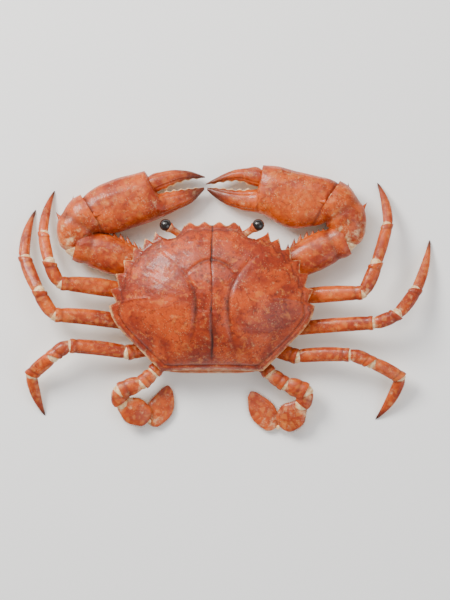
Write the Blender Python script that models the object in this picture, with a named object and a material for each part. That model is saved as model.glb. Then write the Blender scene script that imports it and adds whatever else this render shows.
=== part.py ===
# A cooked mud crab at rest on its belly, claws folded to meet in front, the last legs ending in paddles.
# +Y is the crab's front, +X its right side, +Z up. The origin is on the flat of the belly, on the ground.
# Every shell piece of the real animal is an object of its own, nested in its neighbour's open end.

import bmesh
import bpy
import numpy as np
from mathutils import Vector

# Sizes below are in millimetres, and MM turns them into Blender's metres
MM = 0.001
SHELL_WIDTH = 150.0
SHELL_TOP = 54.0
JOINT_GAP = 0.35
NEST_DEPTH = 2.4
SHARP_ANGLE = 40.0

# The shell's edge: frontal teeth, an eye socket, then seven forward-pointing teeth on an ellipse
SIDE_TEETH = 7
SIDE_TOOTH_DEPTH = 5.2
SIDE_ELLIPSE_Y = -4.4
SIDE_ELLIPSE_HALF_LENGTH = 64.3
FIRST_TOOTH_ANGLE = 57.0
TOOTH_SPACING_POWER = 1.15
FRONT_Y = 57.0
FRONT_CURVE = 0.002
FRONT_TOOTH_PITCH = 10.7
FRONT_TOOTH_DEPTH = 2.8
SOCKET_START_X = 20.0
SOCKET_DEPTH = 8.0
REAR_SIDE = ((75.0, -4.4), (72.5, -13.0), (66.5, -22.0), (57.2, -31.5), (46.5, -42.5), (37.5, -51.5))
REAR_Y = -50.5
REAR_HOLLOW = 1.5
REAR_CORNER_X = 32.0
SHELL_CENTRE = np.array((0.0, 2.0))
CROWN_HALF_SIZES = np.array((71.0, 54.0))

# Heights of the shell's edge and of the seam under it, both lower towards the tail
RIM_Z = 29.0
SEAM_Z = 22.5
REAR_SLOPE = 0.07
EDGE_THICKNESS = 0.9
NOTCH_DROP = 22.0
SHELL_RING_SHARES = (0.16, 0.32, 0.47, 0.61, 0.73, 0.83, 0.91, 0.965)
TEETH_START_SHARE = 0.8
SHELL_UNDER_RINGS = ((0.92, 0.45), (0.84, 1.0))

# The shell's top: the curve of its dome, then its low swellings and grooves by height, place and width
DOME_POWERS = (2.3, 0.92)
SIDE_LOBE = {"height": 1.6, "x": 38.0, "y": -4.0, "radius": 24.0}
FURROW = {"depth": 1.3, "x": 11.7, "waist_y": -3.6, "front_curve": 0.0156, "rear_curve": 0.005, "y": -4.0,
          "half_length": 26.0, "half_width": 3.5}
ARCH = {"depth": 0.8, "y": 28.0, "curve": 0.03, "half_width": 3.5, "half_length": 19.0}

# Rings of the underbody: height above the ground, then its share of the shell's outline to the sides, to
# the front and to the rear
UNDERBODY_SEAM_SHARES = (0.85, 0.86, 0.92)
UNDERBODY_RINGS = (
    (15.0, (0.80, 0.83, 0.94)),
    (9.0, (0.69, 0.78, 0.92)),
    (3.0, (0.54, 0.69, 0.86)),
    (0.6, (0.46, 0.62, 0.80)),
    (0.0, (0.42, 0.58, 0.76)),
)

# The tail flap: points along it as (y, z), with the half width at each
TAIL_PATH = ((-48.5, 20.2), (-51.9, 17.0), (-51.4, 10.5), (-47.5, 4.2), (-41.0, 1.2), (-22.0, 1.1), (-4.0, 1.1),
             (7.0, 1.1))
TAIL_HALF_WIDTHS = (31.0, 31.5, 26.0, 20.0, 16.0, 12.5, 9.0, 4.5)
TAIL_HALF_THICKNESS = 1.4
TAIL_LENGTH = 75.0
TAIL_NOSES = (2.5, 5.0)
TAIL_ROWS = 9
TAIL_SECTION_POWER = 4.0

EYE_RADIUS = 4.4
EYE_CENTRE = (33.6, 54.4, 34.5)
EYE_STALK_FOOT = (23.6, 47.6, 31.0)
EYE_STALK_RADIUS = 3.0
EYE_STALK_ROWS = (0.4, 5.0)
EYE_BALL_ROWS = (-56, -30, 0, 30, 60, 90)

# Each walking leg: its joints from hip to tip, then for each segment the half widths at start, middle and
# end and the sideways bow
LEGS = {
    "leg_left_1": {
        "joints": ((-48, 2, 11), (-57, 4.5, 13), (-110, 12, 26), (-118.3, 27.7, 26), (-123, 48.4, 15),
                   (-115.5, 80.1, 0.4)),
        "widths": ((5.6, 5.8, 5.6), (5.0, 6.4, 4.9), (4.0, 4.9, 4.9), (4.0, 4.3, 4.2), (3.6, 3.1, 0.5)),
        "bows": (0, 1.5, -1.2, -0.6, -2.0),
    },
    "leg_left_2": {
        "joints": ((-47, -18, 11), (-57, -18, 13), (-114.3, -10.9, 25), (-125.9, 6.6, 25), (-136.6, 30.6, 14),
                   (-129.4, 66.2, 0.4)),
        "widths": ((5.6, 5.8, 5.6), (5.0, 5.9, 5.2), (4.3, 5.1, 5.1), (4.3, 4.9, 4.8), (4.2, 3.5, 0.5)),
        "bows": (0, 1.5, -1.2, -0.8, -2.6),
    },
    "leg_left_3": {
        "joints": ((-45, -35, 12), (-62, -38.5, 15), (-103.4, -33.5, 23), (-115.8, -41.0, 22),
                   (-131.8, -54.6, 13), (-122.5, -84.8, 0.4)),
        "widths": ((5.4, 5.6, 5.6), (5.0, 5.4, 5.2), (4.5, 5.4, 5.4), (4.7, 5.3, 5.1), (4.5, 3.6, 0.5)),
        "bows": (0, 1.0, 1.2, 0.5, 1.6),
    },
    "leg_right_1": {
        "joints": ((48, 0, 11), (57, 1.5, 13), (109.4, 5.2, 26), (119.4, 26.7, 26), (128, 54.6, 15),
                   (121.2, 86.1, 0.4)),
        "widths": ((5.6, 5.8, 5.6), (5.0, 6.0, 5.0), (4.2, 5.1, 4.9), (4.0, 4.3, 4.2), (3.6, 3.2, 0.5)),
        "bows": (0, -0.8, 1.2, 0.5, 2.4),
    },
    "leg_right_2": {
        "joints": ((47, -20, 11), (57, -21.5, 13), (117.2, -16.7, 25), (134.7, -10.2, 25), (148.9, 7.3, 14),
                   (159.7, 44.0, 0.4)),
        "widths": ((5.6, 5.8, 5.6), (4.9, 5.3, 5.1), (4.4, 5.0, 5.0), (4.4, 4.8, 4.7), (4.1, 3.3, 0.5)),
        "bows": (0, -0.6, 1.0, 1.0, 1.8),
    },
    "leg_right_3": {
        "joints": ((45, -36, 12), (62, -41.3, 15), (99.9, -40.0, 23), (115.8, -45.5, 22), (137.4, -56.6, 13),
                   (119.8, -87.7, 0.4)),
        "widths": ((5.4, 5.6, 5.6), (4.9, 5.3, 5.0), (4.3, 5.1, 5.1), (4.4, 4.9, 4.9), (4.3, 3.8, 0.5)),
        "bows": (0, -1.0, -1.0, -0.8, -2.4),
    },
}
LEG_SEGMENTS = ("hip", "thigh", "knee", "shin", "toe")
LEG_THICKNESS = (0.9, 0.74, 0.82, 0.74, 0.64)

# The swimming legs are short and broad, and end in a flat blade that starts under the shin's end
PADDLES = {
    "paddle_left": {
        "joints": ((-33, -42, 14), (-42.5, -52.5, 15), (-51.0, -60.5, 15.5), (-66.8, -66.8, 15),
                   (-66.4, -75.2, 13), (-45.5, -87.0, 7.5)),
        "widths": ((5.2, 5.4, 5.4), (4.8, 5.6, 5.6), (5.0, 6.4, 6.6), (5.6, 6.2, 5.6), (5.0, 10.0, 6.6)),
        "bows": (0, 0, 0.5, 1.6, 0.5),
        "blade": {"start": (-47.0, -90.5, 4.2), "end": (-32.4, -62.6, 2.6), "bow": 3.0},
    },
    "paddle_right": {
        "joints": ((33, -42, 14), (42.0, -53.5, 15), (53.3, -61.5, 15.5), (68.2, -67.5, 15),
                   (65.4, -76.4, 13), (50.0, -93.0, 7.5)),
        "widths": ((5.2, 5.4, 5.4), (4.8, 5.6, 5.6), (5.0, 6.8, 6.9), (5.8, 6.4, 5.6), (5.0, 10.4, 6.8)),
        "bows": (0, 0, -0.5, -1.2, -0.5),
        "blade": {"start": (47.0, -93.5, 4.2), "end": (28.4, -67.0, 2.6), "bow": -1.4},
    },
}
PADDLE_SEGMENTS = ("root", "hip", "thigh", "knee", "shin")
PADDLE_THICKNESS = (0.9, 0.85, 0.74, 0.74, 0.27)
BLADE_WIDTHS = (6.0, 9.2, 2.6)
BLADE_THICKNESS = 0.16
BLADE_NOSES = (4.0, 4.0)

# Each claw: hip, arm and wrist as paths, then hand and finger by their edges at positions along the hand's
# axis, measured from that axis towards the moving finger
CLAWS = {
    "claw_left": {
        "side": -1,
        "hip": {"start": (-34, 17, 12), "end": (-49, 23.5, 12.5), "widths": (9.5, 10.4, 10.4), "bow": 0},
        "arm": {"start": (-47, 23, 12.5), "end": (-99.5, 40.5, 15.0), "widths": (9.2, 13.6, 11.4), "bow": 1.0},
        "wrist": {"start": (-99.0, 39.5, 14.5), "end": (-88.2, 64.6, 14.0), "widths": (9.0, 14.4, 14.6),
                  "bow": -5.5},
        "root": (-90.3, 62.6),
        "angle": 14.4,
        "palm_top": ((-6, 8), (0, 13.4), (9, 17.6), (22, 20.0), (38, 20.6), (47, 20.6)),
        "foot": ((-6, -8), (0, -13.0), (10, -17.2), (32, -17.4), (48, -16.0), (63, -13.1), (76, -10.2),
                 (86.6, -3.6)),
        "cleft": (47.0, 53.6),
        "pollex_top": ((53.6, 1.9), (66, 0.9), (77, -0.4), (86.6, -1.6)),
        "finger_top": ((43, 11.0), (49, 15.8), (61, 16.9), (72, 15.1), (81, 11.4), (89.3, 5.8)),
        "finger_foot": ((43, 6.0), (50, 3.6), (60, 4.8), (74, 6.8), (81, 6.2), (89.3, 4.8)),
    },
    "claw_right": {
        "side": 1,
        "hip": {"start": (36, 15, 12), "end": (50.5, 20.5, 12.5), "widths": (9.5, 10.4, 10.4), "bow": 0},
        "arm": {"start": (48.5, 20, 12.5), "end": (97.6, 44.5, 15.0), "widths": (9.2, 13.2, 11.6), "bow": -1.0},
        "wrist": {"start": (97.6, 43.6, 14.5), "end": (85.0, 74.0, 14.0), "widths": (9.4, 15.0, 15.6),
                  "bow": 6.4},
        "root": (85.2, 72.1),
        "angle": 173.1,
        "palm_top": ((-9, 11.5), (-4, 14.6), (0, 16.0), (12, 17.6), (27, 19.2), (39, 20.9), (51, 20.6)),
        "foot": ((-9, -6), (0, -15.2), (13, -20.4), (29, -22.6), (38, -19.2), (46, -15.6), (62, -14.0),
                 (74, -11.3), (82, -7.6), (89.2, -2.6)),
        "cleft": (50.6, 52.8),
        "pollex_top": ((52.8, 2.6), (65, 0.2), (80, -0.2), (89.2, -0.6)),
        "finger_top": ((46, 12.0), (53, 18.2), (63, 16.9), (73, 13.8), (81, 9.2), (90.6, 2.2)),
        "finger_foot": ((46, 6.5), (53, 4.6), (66, 7.2), (77, 5.6), (84, 3.4), (90.6, 1.4)),
    },
}
HIP_THICKNESS = 0.92
ARM_THICKNESS = 0.74
WRIST_THICKNESS = 0.84
WRIST_NEST_DEPTH = 4.5
HAND_HALF_THICKNESS = ((-6, 7.0), (0, 10.0), (12, 12.4), (30, 13.4), (46, 12.2), (56, 8.4), (68, 6.6), (79, 4.4),
                       (90, 1.0))
HAND_CENTRE_Z = ((-6, 14.0), (20, 13.0), (50, 12.4), (90, 9.0))
FINGER_HALF_THICKNESS = ((43, 5.4), (52, 6.8), (66, 5.8), (79, 4.0), (91, 0.8))
ROOT_ROW = 0.6
PALM_ROWS = (4, 14, 26, 37)
FINGER_ROWS = (47, 52)
BITE_TEETH = 5
BITE_DEPTH = 1.5
BITE_START = 57.0
BITE_TAPER = 0.6
TIP_MARGIN = 3.0

# Thorns on the claw's shell: share along the piece, length, foot radius, forward lean and depth of the foot
ARM_THORNS = ((0.24, 4.2, 1.8, 0.9, 1.0), (0.34, 4.6, 1.9, 0.9, 1.0), (0.44, 4.8, 2.0, 0.9, 1.0),
              (0.54, 4.4, 1.9, 0.9, 1.0))
WRIST_THORNS = ((0.50, 5.5, 2.1, 0.9, 1.0), (0.94, 9.0, 2.8, 4.0, 1.8))
PALM_THORN = {"back": 4.5, "up": 17.6, "z": 13.0, "length": 6.5, "radius": 2.4, "lean": 0.9}
THORN_MIDDLE = 0.2
THORN_TIP_RADIUS = 0.25
THORN_SIDES = 6

# Sections: rounded boxes, their rounding at a piece's two ends, and how many rows and points they have
SECTION_POWER = 2.3
LIMB_NOSES = (3.2, 3.0)
CLAW_NOSES = (6.0, 5.0)
LIMB_NOSE_ROWS = (0.0, 0.3)
CLAW_NOSE_ROWS = (0.0, 0.14, 0.5)
LIMB_ROWS = 3
LIMB_AROUND = 8
CLAW_AROUND = 14
FINGER_AROUND = 10
EYE_AROUND = 12
TAIL_AROUND = 12

COLOURS = {
    "shell": (0.60, 0.12, 0.03, 1),
    "limb": (0.66, 0.16, 0.04, 1),
    "belly": (0.80, 0.60, 0.38, 1),
    "eye": (0.01, 0.01, 0.01, 1),
}
ROUGHNESS = {"shell": 0.42, "limb": 0.42, "belly": 0.55, "eye": 0.12}


def smooth(points, u):
    """A cubic through (position, value) points, with the slope at each read from its neighbours."""
    x, y = np.array(points, float).T
    slope = np.gradient(y, x)
    i = np.clip(np.searchsorted(x, u) - 1, 0, len(x) - 2)
    span = x[i + 1] - x[i]
    s = np.clip((u - x[i]) / span, 0, 1)
    ends = y[i] * (1 + 2 * s) * (1 - s) ** 2 + y[i + 1] * s * s * (3 - 2 * s)
    return ends + span * (slope[i] * s * (1 - s) ** 2 - slope[i + 1] * s * s * (1 - s))


def even(values, t):
    """Values set evenly from 0 to 1, read at t."""
    return smooth(tuple(zip(np.linspace(0, 1, len(values)), values)), t)


def unit(v):
    return v / np.linalg.norm(v, axis=-1, keepdims=True)


def right_of(heading):
    """The level direction to the right of a heading."""
    return unit(np.cross(heading, (0.0, 0.0, 1.0)))


def material(kind):
    """The finish of the top shell, a limb, the belly or an eye."""
    made = bpy.data.materials.get(kind)
    if made is None:
        made = bpy.data.materials.new(kind)
        made.use_nodes = True
        shader = made.node_tree.nodes["Principled BSDF"]
        shader.inputs["Base Color"].default_value = COLOURS[kind]
        shader.inputs["Roughness"].default_value = ROUGHNESS[kind]
        shader.inputs["Metallic"].default_value = 0.0
    return made


def skin(name, rings, first_pole, last_pole, kind):
    """A closed object over rings of equal point counts, shut by a point at each end."""
    count = len(rings[0])
    points = [first_pole, *[point for ring in rings for point in ring], last_pole]
    round_ring = [(j, (j + 1) % count) for j in range(count)]
    foot = 1 + (len(rings) - 1) * count
    faces = [(0, 1 + j, 1 + k) for j, k in round_ring]
    faces += [(foot + j, foot + k, len(points) - 1) for j, k in round_ring]
    for low in range(1, foot, count):
        faces += [(low + j, low + k, low + count + k, low + count + j) for j, k in round_ring]
    mesh = bpy.data.meshes.new(name)
    mesh.from_pydata([Vector(point) * MM for point in points], [], faces)
    edit = bmesh.new()
    edit.from_mesh(mesh)
    bmesh.ops.recalc_face_normals(edit, faces=edit.faces)
    edit.to_mesh(mesh)
    edit.free()
    mesh.materials.append(material(kind))
    obj = bpy.data.objects.new(name, mesh)
    bpy.context.scene.collection.objects.link(obj)
    return obj


def loft(name, centres, side, up, half_sizes, kind, around, power=SECTION_POWER, grow=0.0):
    """A skin over rounded-box sections set along centres, half_sizes being (across, up, down) at each.

    Unless it is grown as a cutter, what would be under the ground is flattened on it.
    """
    angle = np.linspace(0, 2 * np.pi, around, endpoint=False)
    across = np.sign(np.cos(angle)) * np.abs(np.cos(angle)) ** (2 / power)
    rise = np.sign(np.sin(angle)) * np.abs(np.sin(angle)) ** (2 / power)
    half, above, below = (row[:, None] for row in half_sizes)
    lift = np.where(rise > 0, above, below) * rise
    rings = centres[:, None] + (half * across)[..., None] * side[:, None] + lift[..., None] * up[:, None]
    if grow == 0:
        rings[..., 2] = np.maximum(rings[..., 2], 0)
    return skin(name, rings[1:-1], centres[0], centres[-1], kind)


def rows_along(length, noses, nose_rows, body):
    """Positions 0 to 1 along a piece, closer together over its two rounded ends."""
    first, last = np.array(noses) / length
    return np.array([*np.multiply(first, nose_rows), *np.linspace(first, 1 - last, body),
                     *(1 - np.multiply(last, nose_rows))[::-1]])


def end_rounding(t, length, noses):
    """1 along the body, falling to 0 as a quarter ellipse over each end."""
    first, last = np.array(noses) / length
    start = 1 - (1 - np.clip(t / first, 0, 1)) ** 2
    end = 1 - (1 - np.clip((1 - t) / last, 0, 1)) ** 2
    return np.sqrt(start * end)


def tube(start, end, widths, thickness, bow=0.0, nest=NEST_DEPTH, noses=LIMB_NOSES, nose_rows=LIMB_NOSE_ROWS,
         around=LIMB_AROUND):
    """A maker of one tube of shell, bowed sideways and round-ended, which reaches back into the one before."""
    start, end = np.array(start, float), np.array(end, float)
    heading = unit(end - start)

    def make(name, grow=0.0):
        first = start - heading * (nest + grow)
        reach = end + heading * grow - first
        length = np.linalg.norm(reach)
        t = rows_along(length, noses, nose_rows, LIMB_ROWS)
        centres = first + np.outer(t, reach) + np.outer(4 * bow * t * (1 - t), right_of(heading))
        tangent = unit(np.gradient(centres, t, axis=0))
        side = right_of(tangent)
        rounding = end_rounding(t, length, noses)
        half = (even(widths, t) + grow) * rounding
        thick = (even(widths, t) * thickness + grow) * rounding
        return loft(name, centres, side, np.cross(side, tangent), (half, thick, thick), "limb", around, grow=grow)

    return make


def finish_mesh(obj):
    """Keeps a cut piece's largest body, without slivers, and shades it smooth between sharp edges."""
    edit = bmesh.new()
    edit.from_mesh(obj.data)
    left = set(edit.verts)
    bodies = []
    while left:
        front = [left.pop()]
        body = set(front)
        while front:
            for edge in front.pop().link_edges:
                new = left.intersection(edge.verts)
                left -= new
                body |= new
                front += new
        bodies.append(body)
    largest = max(bodies, key=len)
    bmesh.ops.delete(edit, geom=[vert for vert in edit.verts if vert not in largest], context="VERTS")
    edit.to_mesh(obj.data)
    edit.free()
    obj.data.shade_smooth()
    obj.data.set_sharp_from_angle(angle=np.radians(SHARP_ANGLE))


def combine(obj, tools, operation):
    """Cuts the tools from obj, or joins them to it, and removes the tools."""
    for tool in tools:
        change = obj.modifiers.new(operation.title(), "BOOLEAN")
        change.operation = operation
        change.object = tool
        change.solver = "EXACT"
    bpy.context.view_layer.update()
    evaluated = obj.evaluated_get(bpy.context.evaluated_depsgraph_get())
    mesh = bpy.data.meshes.new_from_object(evaluated)
    obj.modifiers.clear()
    obj.data = mesh
    for tool in tools:
        bpy.data.objects.remove(tool)


def nested(pieces):
    """Builds a limb's pieces, each hollowed by the next one's slightly larger form so that they fit with a gap."""
    made = [make(name) for name, make in pieces]
    for outer, (name, make) in zip(made, pieces[1:]):
        combine(outer, [make(f"{name}_cutter", JOINT_GAP)], "DIFFERENCE")
    return made


def thorn(foot, direction, length, radius):
    """A cone standing on the shell, its foot sunk in it."""
    edit = bmesh.new()
    bmesh.ops.create_cone(edit, cap_ends=True, segments=THORN_SIDES, radius1=radius * MM,
                          radius2=THORN_TIP_RADIUS * MM, depth=length * MM)
    mesh = bpy.data.meshes.new("thorn")
    edit.to_mesh(mesh)
    edit.free()
    obj = bpy.data.objects.new("thorn", mesh)
    direction = Vector(direction).normalized()
    obj.rotation_euler = direction.to_track_quat("Z", "Y").to_euler()
    obj.location = (Vector(foot) + direction * length * THORN_MIDDLE) * MM
    bpy.context.scene.collection.objects.link(obj)
    return obj


def edge_thorns(path, side, thorns):
    """Thorns along one side of a tube, each leaning towards its far end."""
    start, end = np.array(path["start"], float), np.array(path["end"], float)
    heading = unit(end - start)
    out = right_of(heading) * side
    made = []
    for share, length, radius, lean, depth in thorns:
        middle = start + share * (end - start) + right_of(heading) * 4 * path["bow"] * share * (1 - share)
        foot = middle + out * (even(path["widths"], share) - depth)
        made.append(thorn(foot, out + heading * lean, length, radius))
    return made


def side_edge(angle):
    """Points of the ellipse that the side teeth's tips lie on."""
    return np.column_stack([
        SHELL_WIDTH / 2 * np.cos(angle),
        SIDE_ELLIPSE_Y + SIDE_ELLIPSE_HALF_LENGTH * np.sin(angle),
    ])


def side_tooth_angle(k):
    return np.radians(FIRST_TOOTH_ANGLE) * (1 - (k / (SIDE_TEETH - 1)) ** TOOTH_SPACING_POWER)


def front_edge():
    """Half of the brow: low teeth along a shallow arc."""
    x = np.array((0.0, 2.7, 5.35, 8.0, 10.7, 13.4, 16.05, 18.2, SOCKET_START_X))
    smooth_edge = np.column_stack([x, FRONT_Y - FRONT_CURVE * x * x])
    notch = FRONT_TOOTH_DEPTH * (0.5 + 0.5 * np.cos(2 * np.pi * x / FRONT_TOOTH_PITCH))
    return smooth_edge, smooth_edge - np.outer(notch, (0, 1))


def eye_socket_edge():
    """The hollow that the eye leans out of, between brow and first side tooth."""
    share = np.array((0.15, 0.35, 0.55, 0.75, 0.9))
    start = front_edge()[0][-1]
    end = side_edge(side_tooth_angle(0))[0]
    smooth_edge = start + np.outer(share, end - start)
    return smooth_edge, smooth_edge - np.outer(SOCKET_DEPTH * np.sin(np.pi * share) ** 0.7, (0.25, 1))


def tooth_edge(k):
    """From one side tooth's tip back to the notch before the next."""
    share = np.array((0.0, 0.3, 0.58, 0.82, 0.91))
    depth = SIDE_TOOTH_DEPTH * np.array((0.0, 0.45, 0.8, 1.0, 0.45))
    smooth_edge = side_edge(side_tooth_angle(k) + share * (side_tooth_angle(k + 1) - side_tooth_angle(k)))
    return smooth_edge, smooth_edge - depth[:, None] * unit(smooth_edge - SHELL_CENTRE)


def rear_edge():
    """From the last side tooth in to the tail, then along the tail's edge to the middle."""
    share = np.linspace(0, 1, 9)
    flank = np.column_stack([even(column, share) for column in zip(*REAR_SIDE)])
    x = REAR_CORNER_X * np.linspace(1, 0, 5)
    tail = np.column_stack([x, REAR_Y - REAR_HOLLOW * (x / REAR_CORNER_X) ** 2])
    return (np.concatenate([flank, tail]),) * 2


def shell_outline():
    """The shell's edge all round, twice: as a smooth envelope, and with its teeth."""
    stretches = [front_edge(), eye_socket_edge(), *[tooth_edge(k) for k in range(SIDE_TEETH - 1)], rear_edge()]
    outlines = []
    for stretch in zip(*stretches):
        half = np.concatenate(stretch)
        outlines.append(np.concatenate([half, half[-2:0:-1] * (-1, 1)]))
    return outlines


def bell(x, middle, width, power=2):
    """1 at the middle, falling to about a third at width from it."""
    return np.exp(-(np.abs((x - middle) / width) ** power))


def relief(x, y):
    """Low swellings and grooves of the shell's top: side lobes, the hourglass furrow and the front arch."""
    lobe, furrow, arch = SIDE_LOBE, FURROW, ARCH
    from_waist = y - furrow["waist_y"]
    furrow_x = furrow["x"] + np.where(from_waist > 0, furrow["front_curve"], furrow["rear_curve"]) * from_waist**2
    lobes = lobe["height"] * bell(np.abs(x), lobe["x"], lobe["radius"]) * bell(y, lobe["y"], lobe["radius"])
    furrows = furrow["depth"] * bell(np.abs(x), furrow_x, furrow["half_width"])
    arches = arch["depth"] * bell(y, arch["y"] - arch["curve"] * x * x, arch["half_width"])
    return (lobes - furrows * bell(y, furrow["y"], furrow["half_length"], 4)
            - arches * bell(x, 0.0, arch["half_length"], 4))


def rim_z(y):
    return RIM_Z + REAR_SLOPE * y


def seam_z(y):
    return SEAM_Z + REAR_SLOPE * y


def shell_height(flat, share):
    """Height of the shell's top over flat points, share being how far each is from the crown to the edge."""
    flatness, steepness = DOME_POWERS
    dome = (1 - np.clip(share, 0, 1) ** flatness) ** steepness
    edge = rim_z(flat[..., 1])
    return edge + (SHELL_TOP - edge) * dome + relief(flat[..., 0], flat[..., 1]) * np.clip(dome * 2, 0, 1)


def make_shell():
    """The top shell: a dome out to the toothed edge, closed below by the seam with the underbody."""
    envelope, toothed = shell_outline()
    from_centre = envelope - SHELL_CENTRE
    reach = np.linalg.norm(from_centre, axis=1)
    crown = from_centre / np.linalg.norm(from_centre / CROWN_HALF_SIZES, axis=1, keepdims=True)
    notch = 1 - np.linalg.norm(toothed - SHELL_CENTRE, axis=1) / reach

    def ring(share):
        """An oval near the crown, the envelope further out, the teeth only at the edge."""
        teeth = np.clip((share - TEETH_START_SHARE) / (1 - TEETH_START_SHARE), 0, 1)
        rounded = crown + (from_centre - crown) * share**2
        return SHELL_CENTRE + share * (rounded + teeth * (toothed - envelope)), share * (1 - teeth * notch)

    rings = []
    for share in (*SHELL_RING_SHARES, 1.0):
        flat, from_crown = ring(share)
        rings.append(np.column_stack([flat, shell_height(flat, from_crown)]))
    low_edge = rings[-1] - np.outer(EDGE_THICKNESS + NOTCH_DROP * notch, (0, 0, 1))
    rings.append(low_edge)
    for share, drop in SHELL_UNDER_RINGS:
        flat = ring(share)[0]
        rim = rim_z(flat[:, 1]) - EDGE_THICKNESS
        z = rim + (seam_z(flat[:, 1]) + JOINT_GAP / 2 - rim) * drop
        rings.append(np.column_stack([flat, z]))
    top = (*SHELL_CENTRE, shell_height(SHELL_CENTRE, 0.0))
    foot = (*SHELL_CENTRE, seam_z(SHELL_CENTRE[1]) + JOINT_GAP / 2)
    return skin("top_shell", rings, top, foot, "shell")


def make_underbody():
    """The underbody: from the seam inwards and down to a flat breast that the crab rests on."""
    from_centre = shell_outline()[0][::2] - SHELL_CENTRE

    def ring(shares):
        side, front, rear = shares
        along = np.where(from_centre[:, 1] > 0, front, rear)
        return SHELL_CENTRE + from_centre * np.column_stack([np.full(len(along), side), along])

    seam = ring(UNDERBODY_SEAM_SHARES)
    rings = [np.column_stack([seam, seam_z(seam[:, 1]) - JOINT_GAP / 2])]
    for z, shares in UNDERBODY_RINGS:
        flat = ring(shares)
        rings.append(np.column_stack([flat, np.full(len(flat), z)]))
    top = (*SHELL_CENTRE, seam_z(SHELL_CENTRE[1]) - JOINT_GAP / 2)
    return skin("underbody", rings, top, (*SHELL_CENTRE, 0.0), "belly")


def make_tail(name, grow=0.0):
    """The tail flap: a strip of changing width that turns under the body and lies flat on the breast."""
    t = rows_along(TAIL_LENGTH, TAIL_NOSES, CLAW_NOSE_ROWS, TAIL_ROWS)
    y, z = (even(column, t) for column in zip(*TAIL_PATH))
    centres = np.column_stack([np.zeros_like(y), y, z])
    tangent = unit(np.gradient(centres, t, axis=0))
    side = np.tile((1.0, 0.0, 0.0), (len(t), 1))
    rounding = end_rounding(t, TAIL_LENGTH, TAIL_NOSES)
    half = (even(TAIL_HALF_WIDTHS, t) + grow) * rounding
    thick = (TAIL_HALF_THICKNESS + grow) * np.sqrt(rounding)
    return loft(name, centres, side, np.cross(side, tangent), (half, thick, thick), "belly", TAIL_AROUND,
                power=TAIL_SECTION_POWER, grow=grow)


def eye_maker(side):
    """A maker of one eye on its short stalk, leaning out of the socket."""
    centre = np.array(EYE_CENTRE) * (side, 1, 1)
    foot = np.array(EYE_STALK_FOOT) * (side, 1, 1)
    heading = unit(centre - foot)
    length = np.linalg.norm(centre - foot)
    ball = np.radians(EYE_BALL_ROWS)

    def make(name, grow=0.0):
        reach = np.array([-grow, *EYE_STALK_ROWS, *(length + (EYE_RADIUS + grow) * np.sin(ball))])
        half = np.array([0, EYE_STALK_RADIUS, EYE_STALK_RADIUS, *(EYE_RADIUS * np.cos(ball))]) + grow
        centres = foot + np.outer(reach, heading)
        across = np.tile(right_of(heading), (len(reach), 1))
        return loft(name, centres, across, np.cross(across, heading), (half, half, half), "eye", EYE_AROUND,
                    power=2, grow=grow)

    return make


def bites(u, last):
    """Rounded teeth along a finger's inner edge, larger near its root."""
    share = np.clip((u - BITE_START) / (last - BITE_START), 0, 1)
    return BITE_DEPTH * (1 - BITE_TAPER * share) * np.sin(np.pi * BITE_TEETH * share) ** 2


def bite_rows(tip):
    """Positions along a finger, one at each tooth's top and one at each gap, then two for the tip."""
    return (*np.linspace(BITE_START, tip - TIP_MARGIN, 2 * BITE_TEETH + 1), tip - TIP_MARGIN / 3, tip)


def hand_piece(name, claw, u, top, foot, half_thickness, around, grow):
    """A piece of the hand between its top and foot edges, at positions u along the hand's axis."""
    angle = np.radians(claw["angle"])
    heading = np.array((np.cos(angle), np.sin(angle), 0.0))
    towards_finger = right_of(heading) * claw["side"]
    half = (top - foot) / 2 + grow
    thick = half_thickness + grow
    half[[0, -1]] = 0
    thick[[0, -1]] = 0
    u = np.concatenate([u[:1] - grow, u[1:-1], u[-1:] + grow])
    centres = np.array((*claw["root"], 0.0)) + np.outer(u, heading) + np.outer((top + foot) / 2, towards_finger)
    centres[:, 2] = smooth(HAND_CENTRE_Z, u)
    side = np.tile(towards_finger, (len(u), 1))
    up = np.tile((0.0, 0.0, 1.0), (len(u), 1))
    return loft(name, centres, side, up, (half, thick, thick), "limb", around, grow=grow)


def hand_maker(claw):
    """A maker of the palm with its fixed finger: the top edge steps down at the moving finger's root."""
    cleft_start, cleft_end = claw["cleft"]
    root_end, tip = claw["foot"][0][0], claw["foot"][-1][0]
    u = np.array([root_end, root_end + ROOT_ROW, *PALM_ROWS, cleft_start, (cleft_start + cleft_end) / 2, cleft_end,
                  *bite_rows(tip)])

    def make(name, grow=0.0):
        palm = smooth(claw["palm_top"], np.minimum(u, cleft_start))
        finger = smooth(claw["pollex_top"], np.maximum(u, cleft_end)) + bites(u, tip - TIP_MARGIN)
        step = np.clip((u - cleft_start) / (cleft_end - cleft_start), 0, 1)
        return hand_piece(name, claw, u, palm + (finger - palm) * step, smooth(claw["foot"], u),
                          smooth(HAND_HALF_THICKNESS, u), CLAW_AROUND, grow)

    return make


def finger_maker(claw):
    """A maker of the moving finger, its root sunk in the palm."""
    root_end, tip = claw["finger_top"][0][0], claw["finger_top"][-1][0]
    u = np.array([root_end, root_end + ROOT_ROW, *FINGER_ROWS, *bite_rows(tip)])

    def make(name, grow=0.0):
        foot = smooth(claw["finger_foot"], u) - bites(u, tip - TIP_MARGIN)
        return hand_piece(name, claw, u, smooth(claw["finger_top"], u), foot, smooth(FINGER_HALF_THICKNESS, u),
                          FINGER_AROUND, grow)

    return make


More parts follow.
